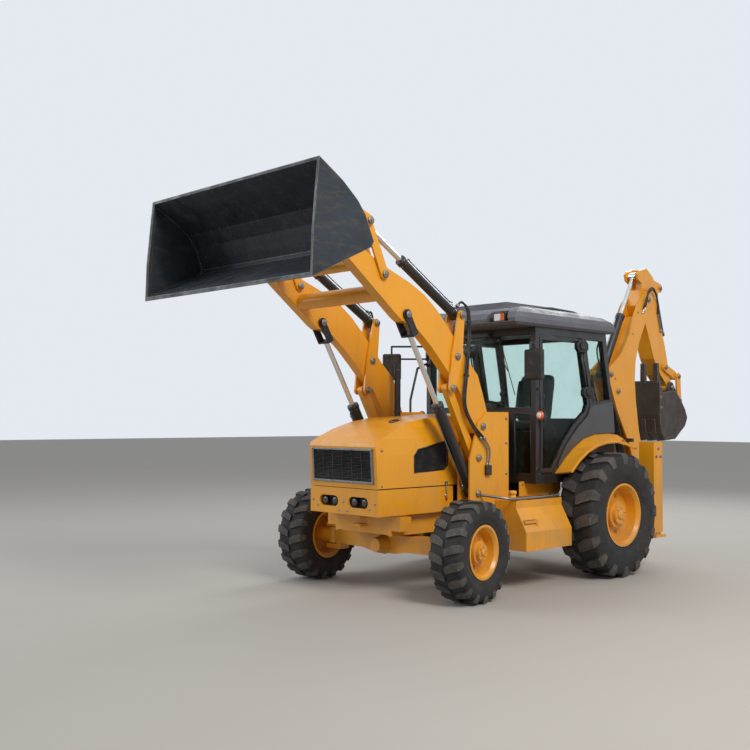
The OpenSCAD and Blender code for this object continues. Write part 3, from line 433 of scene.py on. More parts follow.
CLEAR = lens("clear lens", srgb(225, 228, 230))
SMOKED = lens("smoked lens", srgb(44, 46, 48), 0.1)
RED = lens("red lens", srgb(170, 22, 18))
MIRROR = metal("mirror glass", srgb(196, 204, 208), 0.06, 0.04)

# Nodes that aren't yellow
NODE_LOOKS = (
    (BLACK, "cab_frame grille door_left door_right"),
    (BLACK, "tilt_barrels lift_barrels boom_barrel dipper_barrel bucket_barrel"),
    (CHROME, "tilt_rods boom_rod dipper_rod bucket_rod"),
    (STEEL, "steering_rod tilt_pins lever_pins link_pins bucket_pins"),
    (RUBBER, "tyre_front_left tyre_front_right tyre_rear_left tyre_rear_right"),
    (GLASS, "cab_glass door_glass_left door_glass_right"),
    (TRIM, "controls fittings"),
    (PANEL, "quarter_panels"),
    (ROOF, "cab_roof"),
    (SEAT, "seat"),
    (IRON, "engine"),
    (LOADER_STEEL, "loader_bucket"),
    (DIG_STEEL, "digging_bucket"),
    (LIFT_ROD, "lift_rods"),
)
look_of = {name: look for look, names in NODE_LOOKS for name in names.split()}
for name, obj in NODES.items():
    obj.data.materials.clear()
    obj.data.materials.append(look_of.get(name, YELLOW))

# Camera, set like the one that took the photograph
AZ = radians(45.791)
EL = radians(2.434)
ROLL = radians(0.225)
CAMERA_PLACE = (6.848, -8.127, 1.647)
ahead = Vector((-sin(AZ) * cos(EL), cos(AZ) * cos(EL), sin(EL)))
right = ahead.cross(Vector((0, 0, 1))).normalized()
up = right.cross(ahead)
turned_right = right * cos(ROLL) + up * sin(ROLL)
turned_up = up * cos(ROLL) - right * sin(ROLL)
cam_data = bpy.data.cameras.new("camera")
cam_data.sensor_width = 36.0
cam_data.lens = 47.94
cam = bpy.data.objects.new("camera", cam_data)
scene.collection.objects.link(cam)
turn = Matrix((turned_right, turned_up, -ahead)).transposed().to_4x4()
turn.translation = Vector(CAMERA_PLACE)
cam.matrix_world = turn
scene.camera = cam

# Floor, and a world that lights less than it shows
FLOOR = 60
floor_mesh = bpy.data.meshes.new("floor")
corners = [(-FLOOR, -FLOOR, 0), (FLOOR, -FLOOR, 0), (FLOOR, FLOOR, 0), (-FLOOR, FLOOR, 0)]
floor_mesh.from_pydata(corners, [], [(0, 1, 2, 3)])
floor = bpy.data.objects.new("floor", floor_mesh)
scene.collection.objects.link(floor)
ground = Look("plain floor", srgb(178, 173, 166), 0.85)
ground.patches(srgb(160, 155, 148), 0.12, 0.3, 0.7, 0.8, 3)
floor_mesh.materials.append(ground.made())
world = bpy.data.worlds.new("studio")
scene.world = world
world.use_nodes = True
sky = world.node_tree
daylight = sky.nodes["Background"]
daylight.inputs[0].default_value = (0.86, 0.9, 0.96, 1)
daylight.inputs[1].default_value = 0.5
backdrop = shader_node(sky, "Background", {0: (0.78, 0.82, 0.87, 1)})
rays = shader_node(sky, "LightPath").outputs
seen = rays["Is Camera Ray"]
for ray in ("Is Glossy Ray", "Is Transmission Ray"):
    seen = shader_node(sky, "Math", {0: seen, 1: rays[ray]}, operation="MAXIMUM").outputs[0]
mixed = shader_node(sky, "MixShader", {0: seen, 1: daylight.outputs[0], 2: backdrop.outputs[0]})
sky.links.new(mixed.outputs[0], sky.nodes["World Output"].inputs[0])


def lamp(name, place, target, size, power, colour=(1, 1, 1)):
    data = bpy.data.lights.new(name, "AREA")
    data.shape = "DISK"
    data.size = size
    data.energy = power
    data.color = colour
    obj = bpy.data.objects.new(name, data)
    scene.collection.objects.link(obj)
    obj.location = place
    obj.rotation_euler = (Vector(target) - Vector(place)).to_track_quat("-Z", "Y").to_euler()


lamp("key", (9.0, -3.5, 9.0), (0, 0, 1.4), 4.5, 900, (1.0, 0.96, 0.9))
lamp("fill", (-8.0, -9.0, 6.0), (0, -1, 1.6), 6.0, 380, (0.92, 0.96, 1.0))
lamp("rim", (-3.0, 9.0, 8.0), (0, 0, 1.6), 5.0, 450)
scene.view_settings.view_transform = "Standard"

def side_bolts(name, places, half, d, h, body="machine", middle=0):
    """Bolt heads at places as (y, z), on both sides of a middle."""
    s = Shape(name, STEEL, body)
    for way in BOTH:
        for y, z in places:
            s.bolt((middle + way * half, y, z), (way, 0, 0), d, h)
    s.done()


# Places of the loader's pins as (y, z), and of its side plates
ARM_PIN = (-1650, 1565)
CRANK_PIN = (-2020, 2225)
LINK_PIN = (-1715, 1265)
CRANK_LOW = (-2085, 1925)
TILT_BASE = (-1960, 2620)
LEVER_PIN = (-2985, 2905)
LEVER_TOP = (-3190, 3350)
BUCKET_PIN = (-3560, 3200)
BUCKET_TOP = (-3790, 3590)
LIFT_BASE = (-1725, 925)
LIFT_TOP = (-2690, 2572)
ARM_X = 576
STEER = radians(8)
KINGPIN = (0.78, -1.27, 0.455)
KINGPIN_TO_WHEEL = 0.225
REAR_HUB = (0.99, AXLE_Y, 0.645)


# Tyres: a smooth carcass with slanting lugs that run over the shoulder
def wheel_frame(front, side):
    """Takes a wheel's own frame, outer side along +X, to its place."""
    flip = Matrix.Diagonal((side, 1, 1, 1))
    x, y, z = KINGPIN if front else REAR_HUB
    hub = Matrix.Translation((side * x, y, z))
    if not front:
        return hub @ flip
    return hub @ Matrix.Rotation(STEER, 4, "Z") @ Matrix.Translation((side * KINGPIN_TO_WHEEL, 0, 0)) @ flip


def tyre(kind, word, place, d, w, rim, lugs, depth):
    bm = bmesh.new()
    base = d / 2 - depth
    # half of the section, from the middle of the tread to the bead: share of the width, radius
    half = [(0.0, base), (0.2, base), (0.34, base - 1), (0.41, base - 6), (0.462, base - 20),
            (0.487, d * 0.425), (0.498, d * 0.4), (0.5, d * 0.38), (0.492, d * 0.36),
            (0.478, rim / 2 + 62), (0.47, rim / 2 + 58), (0.466, rim / 2 + 48), (0.455, rim / 2 + 46),
            (0.45, rim / 2 + 26), (0.43, rim / 2 + 8), (0.4, rim / 2 - 4), (0.36, rim / 2 - 11.5)]
    profile = [(x * w, r) for x, r in reversed(half)] + [(-x * w, r) for x, r in half[1:]]
    n = 120
    rows = []
    for x, r in profile:
        rows.append([bm.verts.new(place @ Vector((x / 1000, cos(t) * r / 1000, sin(t) * r / 1000)))
                     for t in turns(n)])
    for a, b in zip(rows, rows[1:]):
        for k in range(n):
            bm.faces.new((a[k], a[(k + 1) % n], b[(k + 1) % n], b[k])).smooth = True
    pitch = pi * d / lugs
    top = d / 2 - 1
    # each row of a lug: across the tread, first and last edge round it, outer and inner radius
    sections = [(0.03, 0.12, 0.48, top, base - 6), (0.11, 0.02, 0.45, top, base - 6),
                (0.2, -0.08, 0.38, top, base - 6), (0.28, -0.13, 0.33, top, base - 6),
                (0.37, -0.18, 0.28, top - 2, base - 8), (0.45, -0.21, 0.24, top - 7, base - 22),
                (0.478, -0.2, 0.22, base - 6, base - 34), (0.494, -0.18, 0.2, base - 28, d * 0.4),
                (0.503, -0.14, 0.16, d * 0.41, d * 0.39)]
    for s in BOTH:
        for i in range(lugs):
            a0 = 2 * pi * (i + (0 if s > 0 else 0.5)) / lugs
            prev = None
            for j, (x, e0, e1, ro, ri) in enumerate(sections):
                ring = []
                for e, r, splay in ((e0, ri, -0.035), (e0, ro, 0.0), ((e0 + e1) / 2, ro + 0.6, 0.0),
                                    (e1, ro, 0.0), (e1, ri, 0.035)):
                    t = a0 - (e + splay) * pitch / (d / 2)
                    spot = Vector((s * x * w / 1000, sin(t) * r / 1000, cos(t) * r / 1000))
                    ring.append(bm.verts.new(place @ spot))
                if prev:
                    for k in range(4):
                        wall = bm.faces.new((prev[k], prev[k + 1], ring[k + 1], ring[k]))
                        wall.material_index = int(k in (1, 2))
                if j in (0, len(sections) - 1):
                    bm.faces.new(ring)
                prev = ring
    obj = mesh_object(kind + "_tyre_" + word, bm, RUBBER, LUGS)
    round_edges(obj, 0.0035, 2, 38)
    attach(obj, "wheel_" + kind + "_" + word)
    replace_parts(obj, "tyre_" + kind + "_" + word)


for side, word in SIDES:
    tyre("front", word, wheel_frame(True, side), 910, 330, 490, 18, 20)
    tyre("rear", word, wheel_frame(False, side), 1290, 440, 655, 16, 28)


# Wheel nuts, valves and hub covers
def wheel_trim(kind, word, place, valve_r, disc_x, nuts, ring_r, cap_r, cap_x):
    name = kind + "_wheel_nuts_" + word
    body = "wheel_" + kind + "_" + word
    s = Shape(name, YELLOW, body)

    def put(x, r, t):
        return from_axle(place @ Vector((x / 1000, cos(t) * r / 1000, sin(t) * r / 1000)))
    axis = place.to_3x3() @ Vector((1, 0, 0))
    for t in turns(nuts):
        s.bolt(put(disc_x + 14, ring_r, t), axis, 26, 20)
    for t in turns(6):
        s.bolt(put(cap_x, cap_r, t + 0.3), axis, 16, 8)
    s.ring(put(cap_x - 1, 0, 0), axis, (cap_r * 0.62, cap_r * 0.62, cap_r * 0.5), (0, 9, 14), 28)
    s.done()
    v = Shape(name + "_valve", TRIM, body)
    v.ring(put(disc_x + 10, valve_r, 2.2), axis, (7, 7, 5, 5), (0, 30, 31, 46), 10)
    v.done()


for side, word in SIDES:
    wheel_trim("front", word, wheel_frame(True, side), 170, 20, 8, 138, 52, 131)
    wheel_trim("rear", word, wheel_frame(False, side), 252.5, 40, 10, 196, 78, 151)


# Caps with a bolt on the ends of the loader's pins
def pin_caps(name, body, places, outer, inner):
    s = Shape(name, STEEL, body)
    for side in BOTH:
        for y, z in places:
            for x, way in ((outer, 1), (inner, -1)):
                axis = (side * way, 0, 0)
                face = side * (x + way * 8)
                s.ring((side * x, y, z), axis, (31, 33, 33, 30), (-1, 1, 7, 9), 28)
                s.ring((face, y, z), axis, (13, 13, 11), (0, 6, 8), 6, smooth=False)
                for t in turns(3):
                    place = (face, y + 22 * cos(t + 0.5), z + 22 * sin(t + 0.5))
                    s.ring(place, axis, (4, 4), (0, 4), 6, smooth=False)
    s.done()


pin_caps("tower_pin_caps", "machine", (ARM_PIN, LINK_PIN, LIFT_BASE), 665, 487)
pin_caps("crank_pin_caps", "loader_arms", (CRANK_PIN,), 663, 489)
pin_caps("lower_crank_caps", "bellcranks", (CRANK_LOW,), 659, 493)
pin_caps("tilt_pin_caps", "tilt_pins", (TILT_BASE,), 667, 485)
pin_caps("lever_pin_caps", "lever_pins", (LEVER_PIN,), 667, 485)
pin_caps("lever_top_caps", "tipping_levers", (LEVER_TOP,), 691, 461)
pin_caps("bucket_pin_caps", "bucket_pins", (BUCKET_PIN,), 667, 485)
pin_caps("bucket_top_caps", "bucket_links", (BUCKET_TOP,), 691, 461)
pin_caps("lift_pin_caps", "lift_rods", (LIFT_TOP,), 665, 487)


# Grille: an alloy frame with screws, louvres and the radiator's dark face behind them
HOOD_FRONT = -2870
HOOD_LEAN = -25 / 380
HOOD_FOOT = 1000


def front_at(z):
    """Where the leaning front of the hood lies at a height."""
    return HOOD_FRONT + (z - HOOD_FOOT) * HOOD_LEAN


s = Shape("grille_louvres", TRIM, "hood")
for k in range(24):
    z = 1068 + k * 12
    y = front_at(z) - 4
    s.prism([(y - 4, z - 3), (y + 8, z + 3), (y + 8, z + 5.5), (y - 4, z - 0.5)], -390, 390)
for x in (-260, -130, 0, 130, 260):
    s.prism([(HOOD_FRONT - 9, 1060), (HOOD_FRONT - 27, 1350), (HOOD_FRONT - 16, 1350),
             (HOOD_FRONT + 2, 1060)], x - 3, x + 3)
s.done()
s = Shape("grille_frame", ALLOY, "hood", "grille_steel")
for z0, z1 in ((1046, 1066), (1344, 1364)):
    s.box((-412, front_at(z0) - 12, z0), (412, front_at(z0) + 14, z1))
for x0, x1 in ((-412, -388), (388, 412)):
    s.prism([(HOOD_FRONT - 15, 1046), (HOOD_FRONT - 36, 1364), (HOOD_FRONT - 10, 1364),
             (HOOD_FRONT + 11, 1046)], x0, x1)
s.done(0.003)
s = Shape("grille_screws", STEEL, "hood")
for x in (-400, -140, 140, 400):
    for z in (1056, 1354):
        s.bolt((x, front_at(z) - 13, z), FORWARD, 13, 7)
s.done()
s = Shape("radiator", IRON)
s.box((-330, -2790, 1020), (330, -2700, 1350))
for k in range(38):
    s.box((-318, -2796, 1030 + k * 8.2), (318, -2789, 1033 + k * 8.2))
s.done(0.002)

# Hood: side meshes with their frames and a black plate of painted shade behind the wires, seams, air scoop
# and screws, and the nose's lamps with a black plate of painted shade behind them
HOOD_HOLE = [(-2400, 1130), (-2400, 1290), (-2340, 1350), (-1930, 1430), (-1930, 1200), (-1980, 1150)]
HOLE_FRONT = -2400
HOLE_REAR = -1930
SHORTEST_WIRE = 20
for side, word in SIDES:
    s = Shape("hood_side_mesh_and_shade_" + word, TRIM, "hood")
    # The solid black plate in the hole's outline, just behind the wires, is painted shade: it stands for the
    # shaded engine bay seen through the mesh.
    s.prism(HOOD_HOLE, side * 432, side * 436)
    for k in range(40):
        z = 1136 + k * 7.4
        y0 = HOLE_FRONT + max(z - 1290, 0)
        if z > 1350:
            y0 = -2340 + (z - 1350) * 410 / 80
        y1 = HOLE_REAR if z > 1200 else z - 3130
        if z < 1150:
            y1 = -1980 - (1150 - z) * 21
        if y1 - y0 > SHORTEST_WIRE:
            s.box((side * 435, y0 + 4, z), (side * 439, y1 - 4, z + 2.6))
    for k in range(58):
        y = -2392 + k * 8.0
        z0 = 1132
        if y >= -2390:
            z0 += (y - HOLE_FRONT) * 20 / 420
        if y > -1980:
            z0 = 1152 + (y + 1980)
        z1 = 1290 + (y - HOLE_FRONT) if y < -2340 else 1350 + (y + 2340) * 80 / 410
        if z1 - z0 > SHORTEST_WIRE:
            s.box((side * 437, y, z0 + 4), (side * 441, y + 2.6, z1 - 4))
    s.done()
    s = Shape("hood_side_frame_" + word, BLACK, "hood", "black_paint")
    rim = [Vector((side * 452, y, z)) for y, z in HOOD_HOLE]
    for a, b in zip(rim, rim[1:] + rim[:1]):
        s.ring(a, b - a, (6.5, 6.5), (-3, (b - a).length + 3), 8)
    s.done()
    s = Shape("hood_seam_" + word, TRIM, "hood")
    s.box((side * 449 - 3, -2868, 1002), (464 if side > 0 else -461, -1262, 1006))
    s.done()
s = Shape("hood_screws", STEEL, "hood")
for side in BOTH:
    for y, z in ((-2820, 1030), (-1330, 1030), (-2820, 1350)):
        s.ring((side * 459, y, z), (side, 0, 0), (11, 11, 8), (0, 3, 5), 16)
s.done()
s = Shape("hood_scoop", TRIM, "hood")
s.ring((170, -2380, 1618), (0, -0.3, 1), (52, 50, 40, 38), (-20, 0, 1, -16), 28)
s.done()
LAMP_Z = 870
s = Shape("nose_lamps", SMOKED)
t = Shape("nose_lamp_frames", TRIM)
for side in (-1, 1):
    for x in (side * 200 - 66, side * 200 + 66):
        s.ring((x, HOOD_FRONT + 26, LAMP_Z), FORWARD, (34, 37, 34, 20), (0, 6, 12, 16), 28)
        t.ring((x, HOOD_FRONT + 18, LAMP_Z), (0, 1, 0), (46, 46, 38, 38), (0, 8, 10, 24), 28, closed=False)
    # A black plate at the back of the lamps' recess, as painted shade in the recess.
    t.box((side * 200 - 125, HOOD_FRONT + 46, 822), (side * 200 + 125, HOOD_FRONT + 52, 918))
s.done()
t.done()
s = Shape("nose_screws", STEEL)
for x, z in ((-420, 870), (-350, 820), (0, 870), (350, 820), (420, 870), (-60, 790), (60, 790)):
    s.ring((x, HOOD_FRONT, z), FORWARD, (11, 11, 7), (0, 4, 6), 16)
s.done()


# Hoses and pipes
def hose_end(name, body, at, towards, d):
    """A crimped sleeve and a nut where a hose or pipe starts."""
    s = Shape(name, STEEL, body)
    a = Vector(at)
    v = (Vector(towards) - a).normalized()
    s.ring(a - v * 6, v, (d * 0.62, d * 0.62), (0, 34), 20)
    s.ring(a - v * 4, v, (d * 0.8, d * 0.8), (0, 14), 6, smooth=False)
    s.done()


HOSE_X = 663
HOSE_D = 21
TOWER_X = 672
PIPE_D = 14
for side, word in SIDES:
    for i in range(2):
        far = 26 * i
        tag = "_%d_%s" % (i, word)
        route = [(640 - far, -2010 + far, 2705), (650 - far, -1950 + far, 2745),
                 (HOSE_X - 4, -1888 + far, 2680), (HOSE_X, -1878 + far, 2560), (HOSE_X, -1874 + far, 2435),
                 (HOSE_X, -1890 + far, 2250), (HOSE_X, -1912 + far, 2050), (HOSE_X + 1, -1940 + far, 1777),
                 (HOSE_X + 5, -1836 + far, 1590), (TOWER_X, -1690 + far * 2, 1445)]
        top = route[:4]
        middle = route[3:7]
        low = route[6:]
        pipe = [(TOWER_X, -1690 + far * 2, 1440), (TOWER_X, -1650 + far * 2, 1400),
                (TOWER_X, -1600 + far * 1.6, 1330), (TOWER_X, -1604 + far * 1.2, 1190)]
        for part, places, first, second, start, end in (
                ("top", top, "bellcranks", "tilt_pins", top[3], top[0]),
                ("middle", middle, "loader_arms", "bellcranks", middle[3], (HOSE_X, -1885, 2400)),
                ("low", low, "machine", "loader_arms", low[3], (HOSE_X, -1925, 1900))):
            s = Shape("tilt_hose_" + part + tag, HOSE, first)
            s.tube([(side * x, y, z) for x, y, z in places], HOSE_D, 14)
            s.done(bend=(first, second, pt(side * start[0], *start[1:]), pt(side * end[0], *end[1:])))
        s = Shape("tower_pipe" + tag, STEEL)
        s.tube([(side * x, y, z) for x, y, z in pipe], PIPE_D, 14)
        s.done()
        for part, body, places, d in (("top", "tilt_barrels", top, HOSE_D),
                                      ("low", "machine", low[::-1], HOSE_D),
                                      ("pipe", "machine", pipe[::-1], PIPE_D)):
            (x, y, z), (u, v, w) = places[:2]
            hose_end("hose_end_" + part + tag, body, (side * x, y, z), (side * u, v, w), d)
for side, word in SIDES:
    s = Shape("pipe_block_" + word, TRIM)
    s.box((side * 658, -1625, 1095), (side * 690, -1550, 1190))
    s.done(0.006)
    for body, y, z, t in (("bellcranks", -1865, 2562, 0.1), ("loader_arms", -1900, 2052, -0.15)):
        s = Shape("hose_clamps_" + body + "_" + word, TRIM, body)
        s.box((side * 648, y - 26, z - 12), (side * 678, y + 28, z + 12), about_x(t), (0, y, z))
        s.done(0.004)
    s = Shape("tower_bolts_" + word, STEEL)
    for y, z in ((-1290, 850), (-1290, 1100), (-1290, 1400), (-1290, 1640), (-1500, 800), (-1800, 800)):
        s.bolt((side * 655, y, z), (side, 0, 0), 20, 11)
    s.done()


# Cylinders: gland rings with screws, ports and the pipe along the barrel
def cylinder_trim(name, body, p, q, xs, length, d, up):
    s = Shape(name + "_glands", BLACK, body, "black_paint")
    t = Shape(name + "_screws", STEEL, body)
    w = Shape(name + "_pipes", STEEL, body)
    v = Vector((0, q[0] - p[0], q[1] - p[1])).normalized()
    n = Vector((0, -v.z, v.y)) * up
    side = v.cross(n)
    for x in xs:
        def along(reach):
            return Vector((x, p[0], p[1])) + v * reach
        gland = along(length - 42)
        s.ring(gland, v, (d / 2 + 1, d / 2 + 6, d / 2 + 6, d / 2 - 6, d / 2 - 14), (0, 3, 36, 42, 46), 32)
        if name != "boom":
            s.ring(along(62), v, (d / 2, d / 2 + 5, d / 2 + 5, d / 2), (0, 2, 22, 24), 32)
        for reach in (95, length - 70):
            s.ring(along(reach) + n * (d / 2 - 4), n, (15, 15, 13), (0, 20, 22), 6, smooth=False)
        for turned in turns(8):
            out = n * cos(turned + 0.39) + side * sin(turned + 0.39)
            t.ring(gland + out * (d / 2 + 5), out, (5, 5, 3), (0, 4, 5), 12)
        a = along(95) + n * (d / 2 + 18)
        b = along(length - 70) + n * (d / 2 + 18)
        w.tube([b, b - v * 30 + n * 10, b - v * 80 + n * 3, a + v * 90 + n * 3, a + v * 35 + n * 10,
                a + v * 4 + n * 22], 13)
    s.done()
    t.done()
    w.done()


SHIFT_X = 460
BOOM_FOOT = (1400, 800)
BOOM_CYLINDER_TOP = (850, 1960)
DIPPER_CYLINDER_FOOT = (705, 2150)
DIG_CYLINDER_FOOT = (1850, 3240)
DIG_ROD_EYE = (2185, 2170)
cylinder_trim("lift", "lift_barrels", LIFT_BASE, LIFT_TOP, (ARM_X, -ARM_X), 985, 105, 1)
cylinder_trim("tilt", "tilt_barrels", TILT_BASE, LEVER_TOP, (ARM_X, -ARM_X), 880, 92, -1)
cylinder_trim("boom", "boom_barrel", (1150, 1010), BOOM_CYLINDER_TOP, (SHIFT_X,), 760, 100, 1)
cylinder_trim("dipper", "dipper_barrel", DIPPER_CYLINDER_FOOT, (1400, 3350), (SHIFT_X,), 820, 96, 1)
cylinder_trim("dig", "bucket_barrel", DIG_CYLINDER_FOOT, DIG_ROD_EYE, (SHIFT_X,), 600, 86, 1)


# Loader bucket: bolted cutting edge and wear strips on its sides
s = Shape("bucket_edge", STEEL, "loader_bucket")
s.prism([(-4268, 2703), (-4085, 2790), (-4089, 2800), (-4266, 2712)], -1166, 1166)
s.done(0.002)
s = Shape("bucket_edge_bolts", STEEL, "loader_bucket")
for k in range(9):
    x = -1040 + k * 260
    s.bolt((x, -4140, 2766), (0, -0.43, 0.9), 24, 13)
    s.bolt((x, -4160, 2753), (0, 0.43, -0.9), 28, 14)
s.done()
s = Shape("bucket_side_plates", LOADER_STEEL, "loader_bucket", "bucket_paint")
for side in BOTH:
    s.prism([(-4266, 2712), (-4236, 2722), (-4222, 3050), (-4196, 3398), (-4180, 3610), (-4205, 3626),
             (-4226, 3401), (-4258, 3050)], side * 1157, side * 1146)
    s.prism([(-3700, 2985), (-3655, 3006), (-3634, 3050), (-3668, 3119), (-3700, 3119), (-3672, 3050)],
            side * 1157, side * 1140)
s.done(0.003)


# Cab: mirrors and rail take the place of the plain fittings
def tube_path(s, places, d, n=14):
    """Straight tubes from place to place, with a ball at each bend."""
    for a, b in zip(places, places[1:]):
        v = Vector(b) - Vector(a)
        s.ring(a, v, (d / 2, d / 2), (0, v.length), n)
    for x, y, z in places[1:-1]:
        s.ring((x, y, z - d * 0.5), (0, 0, 1), [d * r for r in (0.2, 0.42, 0.5, 0.42, 0.2)],
               [d * h for h in (0, 0.22, 0.5, 0.78, 1)], n)


CAB_X = 750
MIRROR_TURN = Matrix.Rotation(radians(35), 4, "Z")
FAR_MIRROR = (-CAB_X - 280, -1200, 2210)
mx, my, mz = FAR_MIRROR
s = Shape("mirrors", TRIM)
s.box((CAB_X - 24, -1099, 2026), (CAB_X + 199, -1041, 2334))
s.box((mx - 104, my - 29, mz - 149), (mx + 104, my + 29, mz + 149), MIRROR_TURN, FAR_MIRROR)
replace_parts(s.done(0.022, 5), "fittings")
s = Shape("mirror_arms", BLACK, slot="black_paint")
tube_path(s, [(740, -945, 2400), (790, -1070, 2400), (790, -1070, 2312)], 22)
tube_path(s, [(-740, -945, 2440), (-1032, -1203, 2440), (-1032, -1203, 2340)], 22)
tube_path(s, [(-740, -945, 2300), (-950, -1141, 2300)], 20)
for x, z0, z1 in ((-740, 2282, 2468), (740, 2370, 2430)):
    s.box((x - 12, -948, z0), (x + 12, -930, z1))
rail = [(-734, -930, 2240), (-734, -970, 2240), (-758, -1072, 2190), (-758, -1183, 1840), (-758, -1183, 1480),
        (-734, -970, 1405), (-734, -930, 1405)]
tube_path(s, rail, 26, 18)
for end in (rail[0], rail[-1]):
    s.ring(end, FORWARD, (30, 30, 24), (0, 5, 8), 24)
s.done(0.002)
s = Shape("mirror_glass", MIRROR)
s.box((CAB_X - 12, -1042, 2040), (CAB_X + 187, -1038.5, 2320))
s.box((mx - 92, my + 28, mz - 135), (mx + 92, my + 31.5, mz + 135), MIRROR_TURN, FAR_MIRROR)
s.done(0.001)


# Lamps: signal lamps on the pillars, roof lamps, rear lamps on the fenders
s = Shape("signal_bases", TRIM)
a = Shape("signal_lenses", AMBER)
w = Shape("position_lenses", CLEAR)
for side in BOTH:
    x = side * 815
    s.box((side * 736, -949, 1661), (side * 800, -931, 1689))
    s.ring((x, -925, 1675), FORWARD, (42, 48, 48, 44), (0, 3, 16, 18), 32)
    a.ring((x, -942, 1675), FORWARD, (45, 46, 43, 33, 28), (0, 2, 14, 22, 23), 32)
    w.ring((x, -964, 1675), FORWARD, (28, 28, 22, 10), (0, 4, 9, 11), 28)
s.done()
a.done()
w.done()
s = Shape("roof_lamp_bodies", TRIM)
a = Shape("roof_lamp_lenses", CLEAR)
b = Shape("roof_signal_lenses", AMBER)
for side in BOTH:
    s.box((side * 501, -1296, 2609), (side * 649, -1231, 2699))
    for x0, x1, z0, z1 in ((501, 511, 2609, 2699), (639, 649, 2609, 2699), (501, 649, 2690, 2699),
                           (501, 649, 2609, 2618)):
        s.box((side * x0, -1300, z0), (side * x1, -1290, z1))
    a.box((side * 512, -1299, 2619), (side * 590, -1294, 2689))
    b.box((side * 593, -1299, 2619), (side * 638, -1294, 2689))
s.done(0.003)
a.done(0.002)
b.done(0.002)
s = Shape("rear_lamps", RED)
t = Shape("rear_lamp_bases", TRIM)
for side in BOTH:
    t.box((side * 860, 560, 1388), (side * 935, 612, 1428))
    s.box((side * 866, 608, 1394), (side * 929, 618, 1422))
    s.ring((side * 945, 388, 1402), (0, 0.1, 1), (19, 19, 14, 6), (-4, 6, 14, 16), 20)
s.done(0.002)
t.done(0.003)


# Roof: raised ribs and the seam along its front edge
s = Shape("roof_ribs", ROOF, slot="roof_plastic")
top = [(-1040, 2791), (-800, 2812), (-400, 2832), (0, 2820), (230, 2780)]
for x in (-560, -500, 500, 560):
    s.prism([(y, z - 22) for y, z in top] + [(y, z - 6) for y, z in reversed(top)], x - 14, x + 14)
s.done(0.006)
s = Shape("roof_seam", TRIM)
s.box((-772, -1255, 2572), (772, -1247, 2578))
s.done()


# Rubber seals round the windows
def seal(name, body, places, d):
    s = Shape(name, HOSE, body)
    corners = [Vector(p) for p in places]
    for p, q in zip(corners, corners[1:] + corners[:1]):
        s.ring(p, q - p, (d / 2, d / 2), (-d / 3, (q - p).length + d / 3), 8)
    s.done()


GLAZING = [(-815, 1135), (-672, 1135), (-596, 1226), (-452, 1417), (-245, 1596), (-56, 1722), (-20, 1795),
           (-160, 2448), (-815, 2448)]
QUARTER = [(-45, 2490), (285, 2490), (415, 1850), (100, 1815)]
WINDSCREEN = [(-685, 1750), (685, 1750), (685, 2500), (-685, 2500)]
LOW_WINDOW = [(480, 1080), (685, 1080), (685, 1690), (480, 1690)]
SEAL_X = 748
SEAL_Y = -931
for side, word in SIDES:
    seal("door_seal_" + word, "door_" + word, [(side * SEAL_X, y, z) for y, z in GLAZING], 11)
    seal("quarter_seal_" + word, "machine", [(side * SEAL_X, y, z) for y, z in QUARTER], 11)
seal("windscreen_seal", "machine", [(x, SEAL_Y, z) for x, z in WINDSCREEN], 12)
for side, word in SIDES:
    seal("low_window_seal_" + word, "machine", [(side * x, SEAL_Y, z) for x, z in LOW_WINDOW], 11)


# Doors: hinge covers, handle, grab bar; wiper and mirror at the windscreen
for side, word in SIDES:
    s = Shape("hinge_covers_" + word, TRIM, "door_" + word)
    for y, z in ((-145, 2409), (-36, 1919)):
        rim = [(y - 112, z - 26), (y - 72, z - 62), (y + 60, z - 62), (y + 92, z - 26), (y + 92, z + 26),
               (y + 60, z + 62), (y - 72, z + 62), (y - 112, z + 26)]
        s.prism(rim, side * 751, side * 800)
        s.prism([(y + (p - y) * 0.62 - 4, z + (q - z) * 0.6) for p, q in rim], side * 799, side * 818)
    s.done(0.016, 4)
    s = Shape("hinge_bars_" + word, BLACK, "door_" + word, "black_paint")
    for y in (-154, -110):
        s.ring((side * 766, y, 2370), (0, 96, -410), (9, 9), (0, 421), 12)
    s.done()
    s = Shape("door_handle_" + word, TRIM, "door_" + word)
    s.box((side * 750, -840, 1555), (side * 777, -808, 1735))
    s.box((side * 772, -838, 1600), (side * 790, -812, 1720))
    s.ring((side * 776, -824, 1580), (side, 0, 0), (9, 9, 7), (0, 4, 6), 16)
    s.done(0.006)
    if side > 0:
        s = Shape("pillar_rail_" + word, BLACK, slot="black_paint")
        s.tube([(752, -905, 1130), (790, -905, 1160), (800, -905, 1300), (800, -905, 1700), (790, -905, 1920),
                (752, -905, 1950)], 24, 16, 12)
        for z in (1130, 1950):
            s.ring((750, -905, z), (1, 0, 0), (26, 26, 18), (0, 5, 8), 20)
        s.done()
s = Shape("wiper", TRIM)
s.ring((160, -931, 2535), FORWARD, (26, 26, 20, 16), (0, 14, 20, 30), 24)
s.rod((160, -955, 2535), (420, -957, 2130), 12)
s.rod((330, -944, 2390), (500, -944, 1880), 9)
s.box((-60, -944, 2545), (200, -930, 2572))
s.done()
s = Shape("cab_mirror", TRIM)
s.box((60, -890, 2440), (260, -868, 2500))
s.rod((160, -880, 2500), (160, -885, 2570), 12)
s.done(0.008)


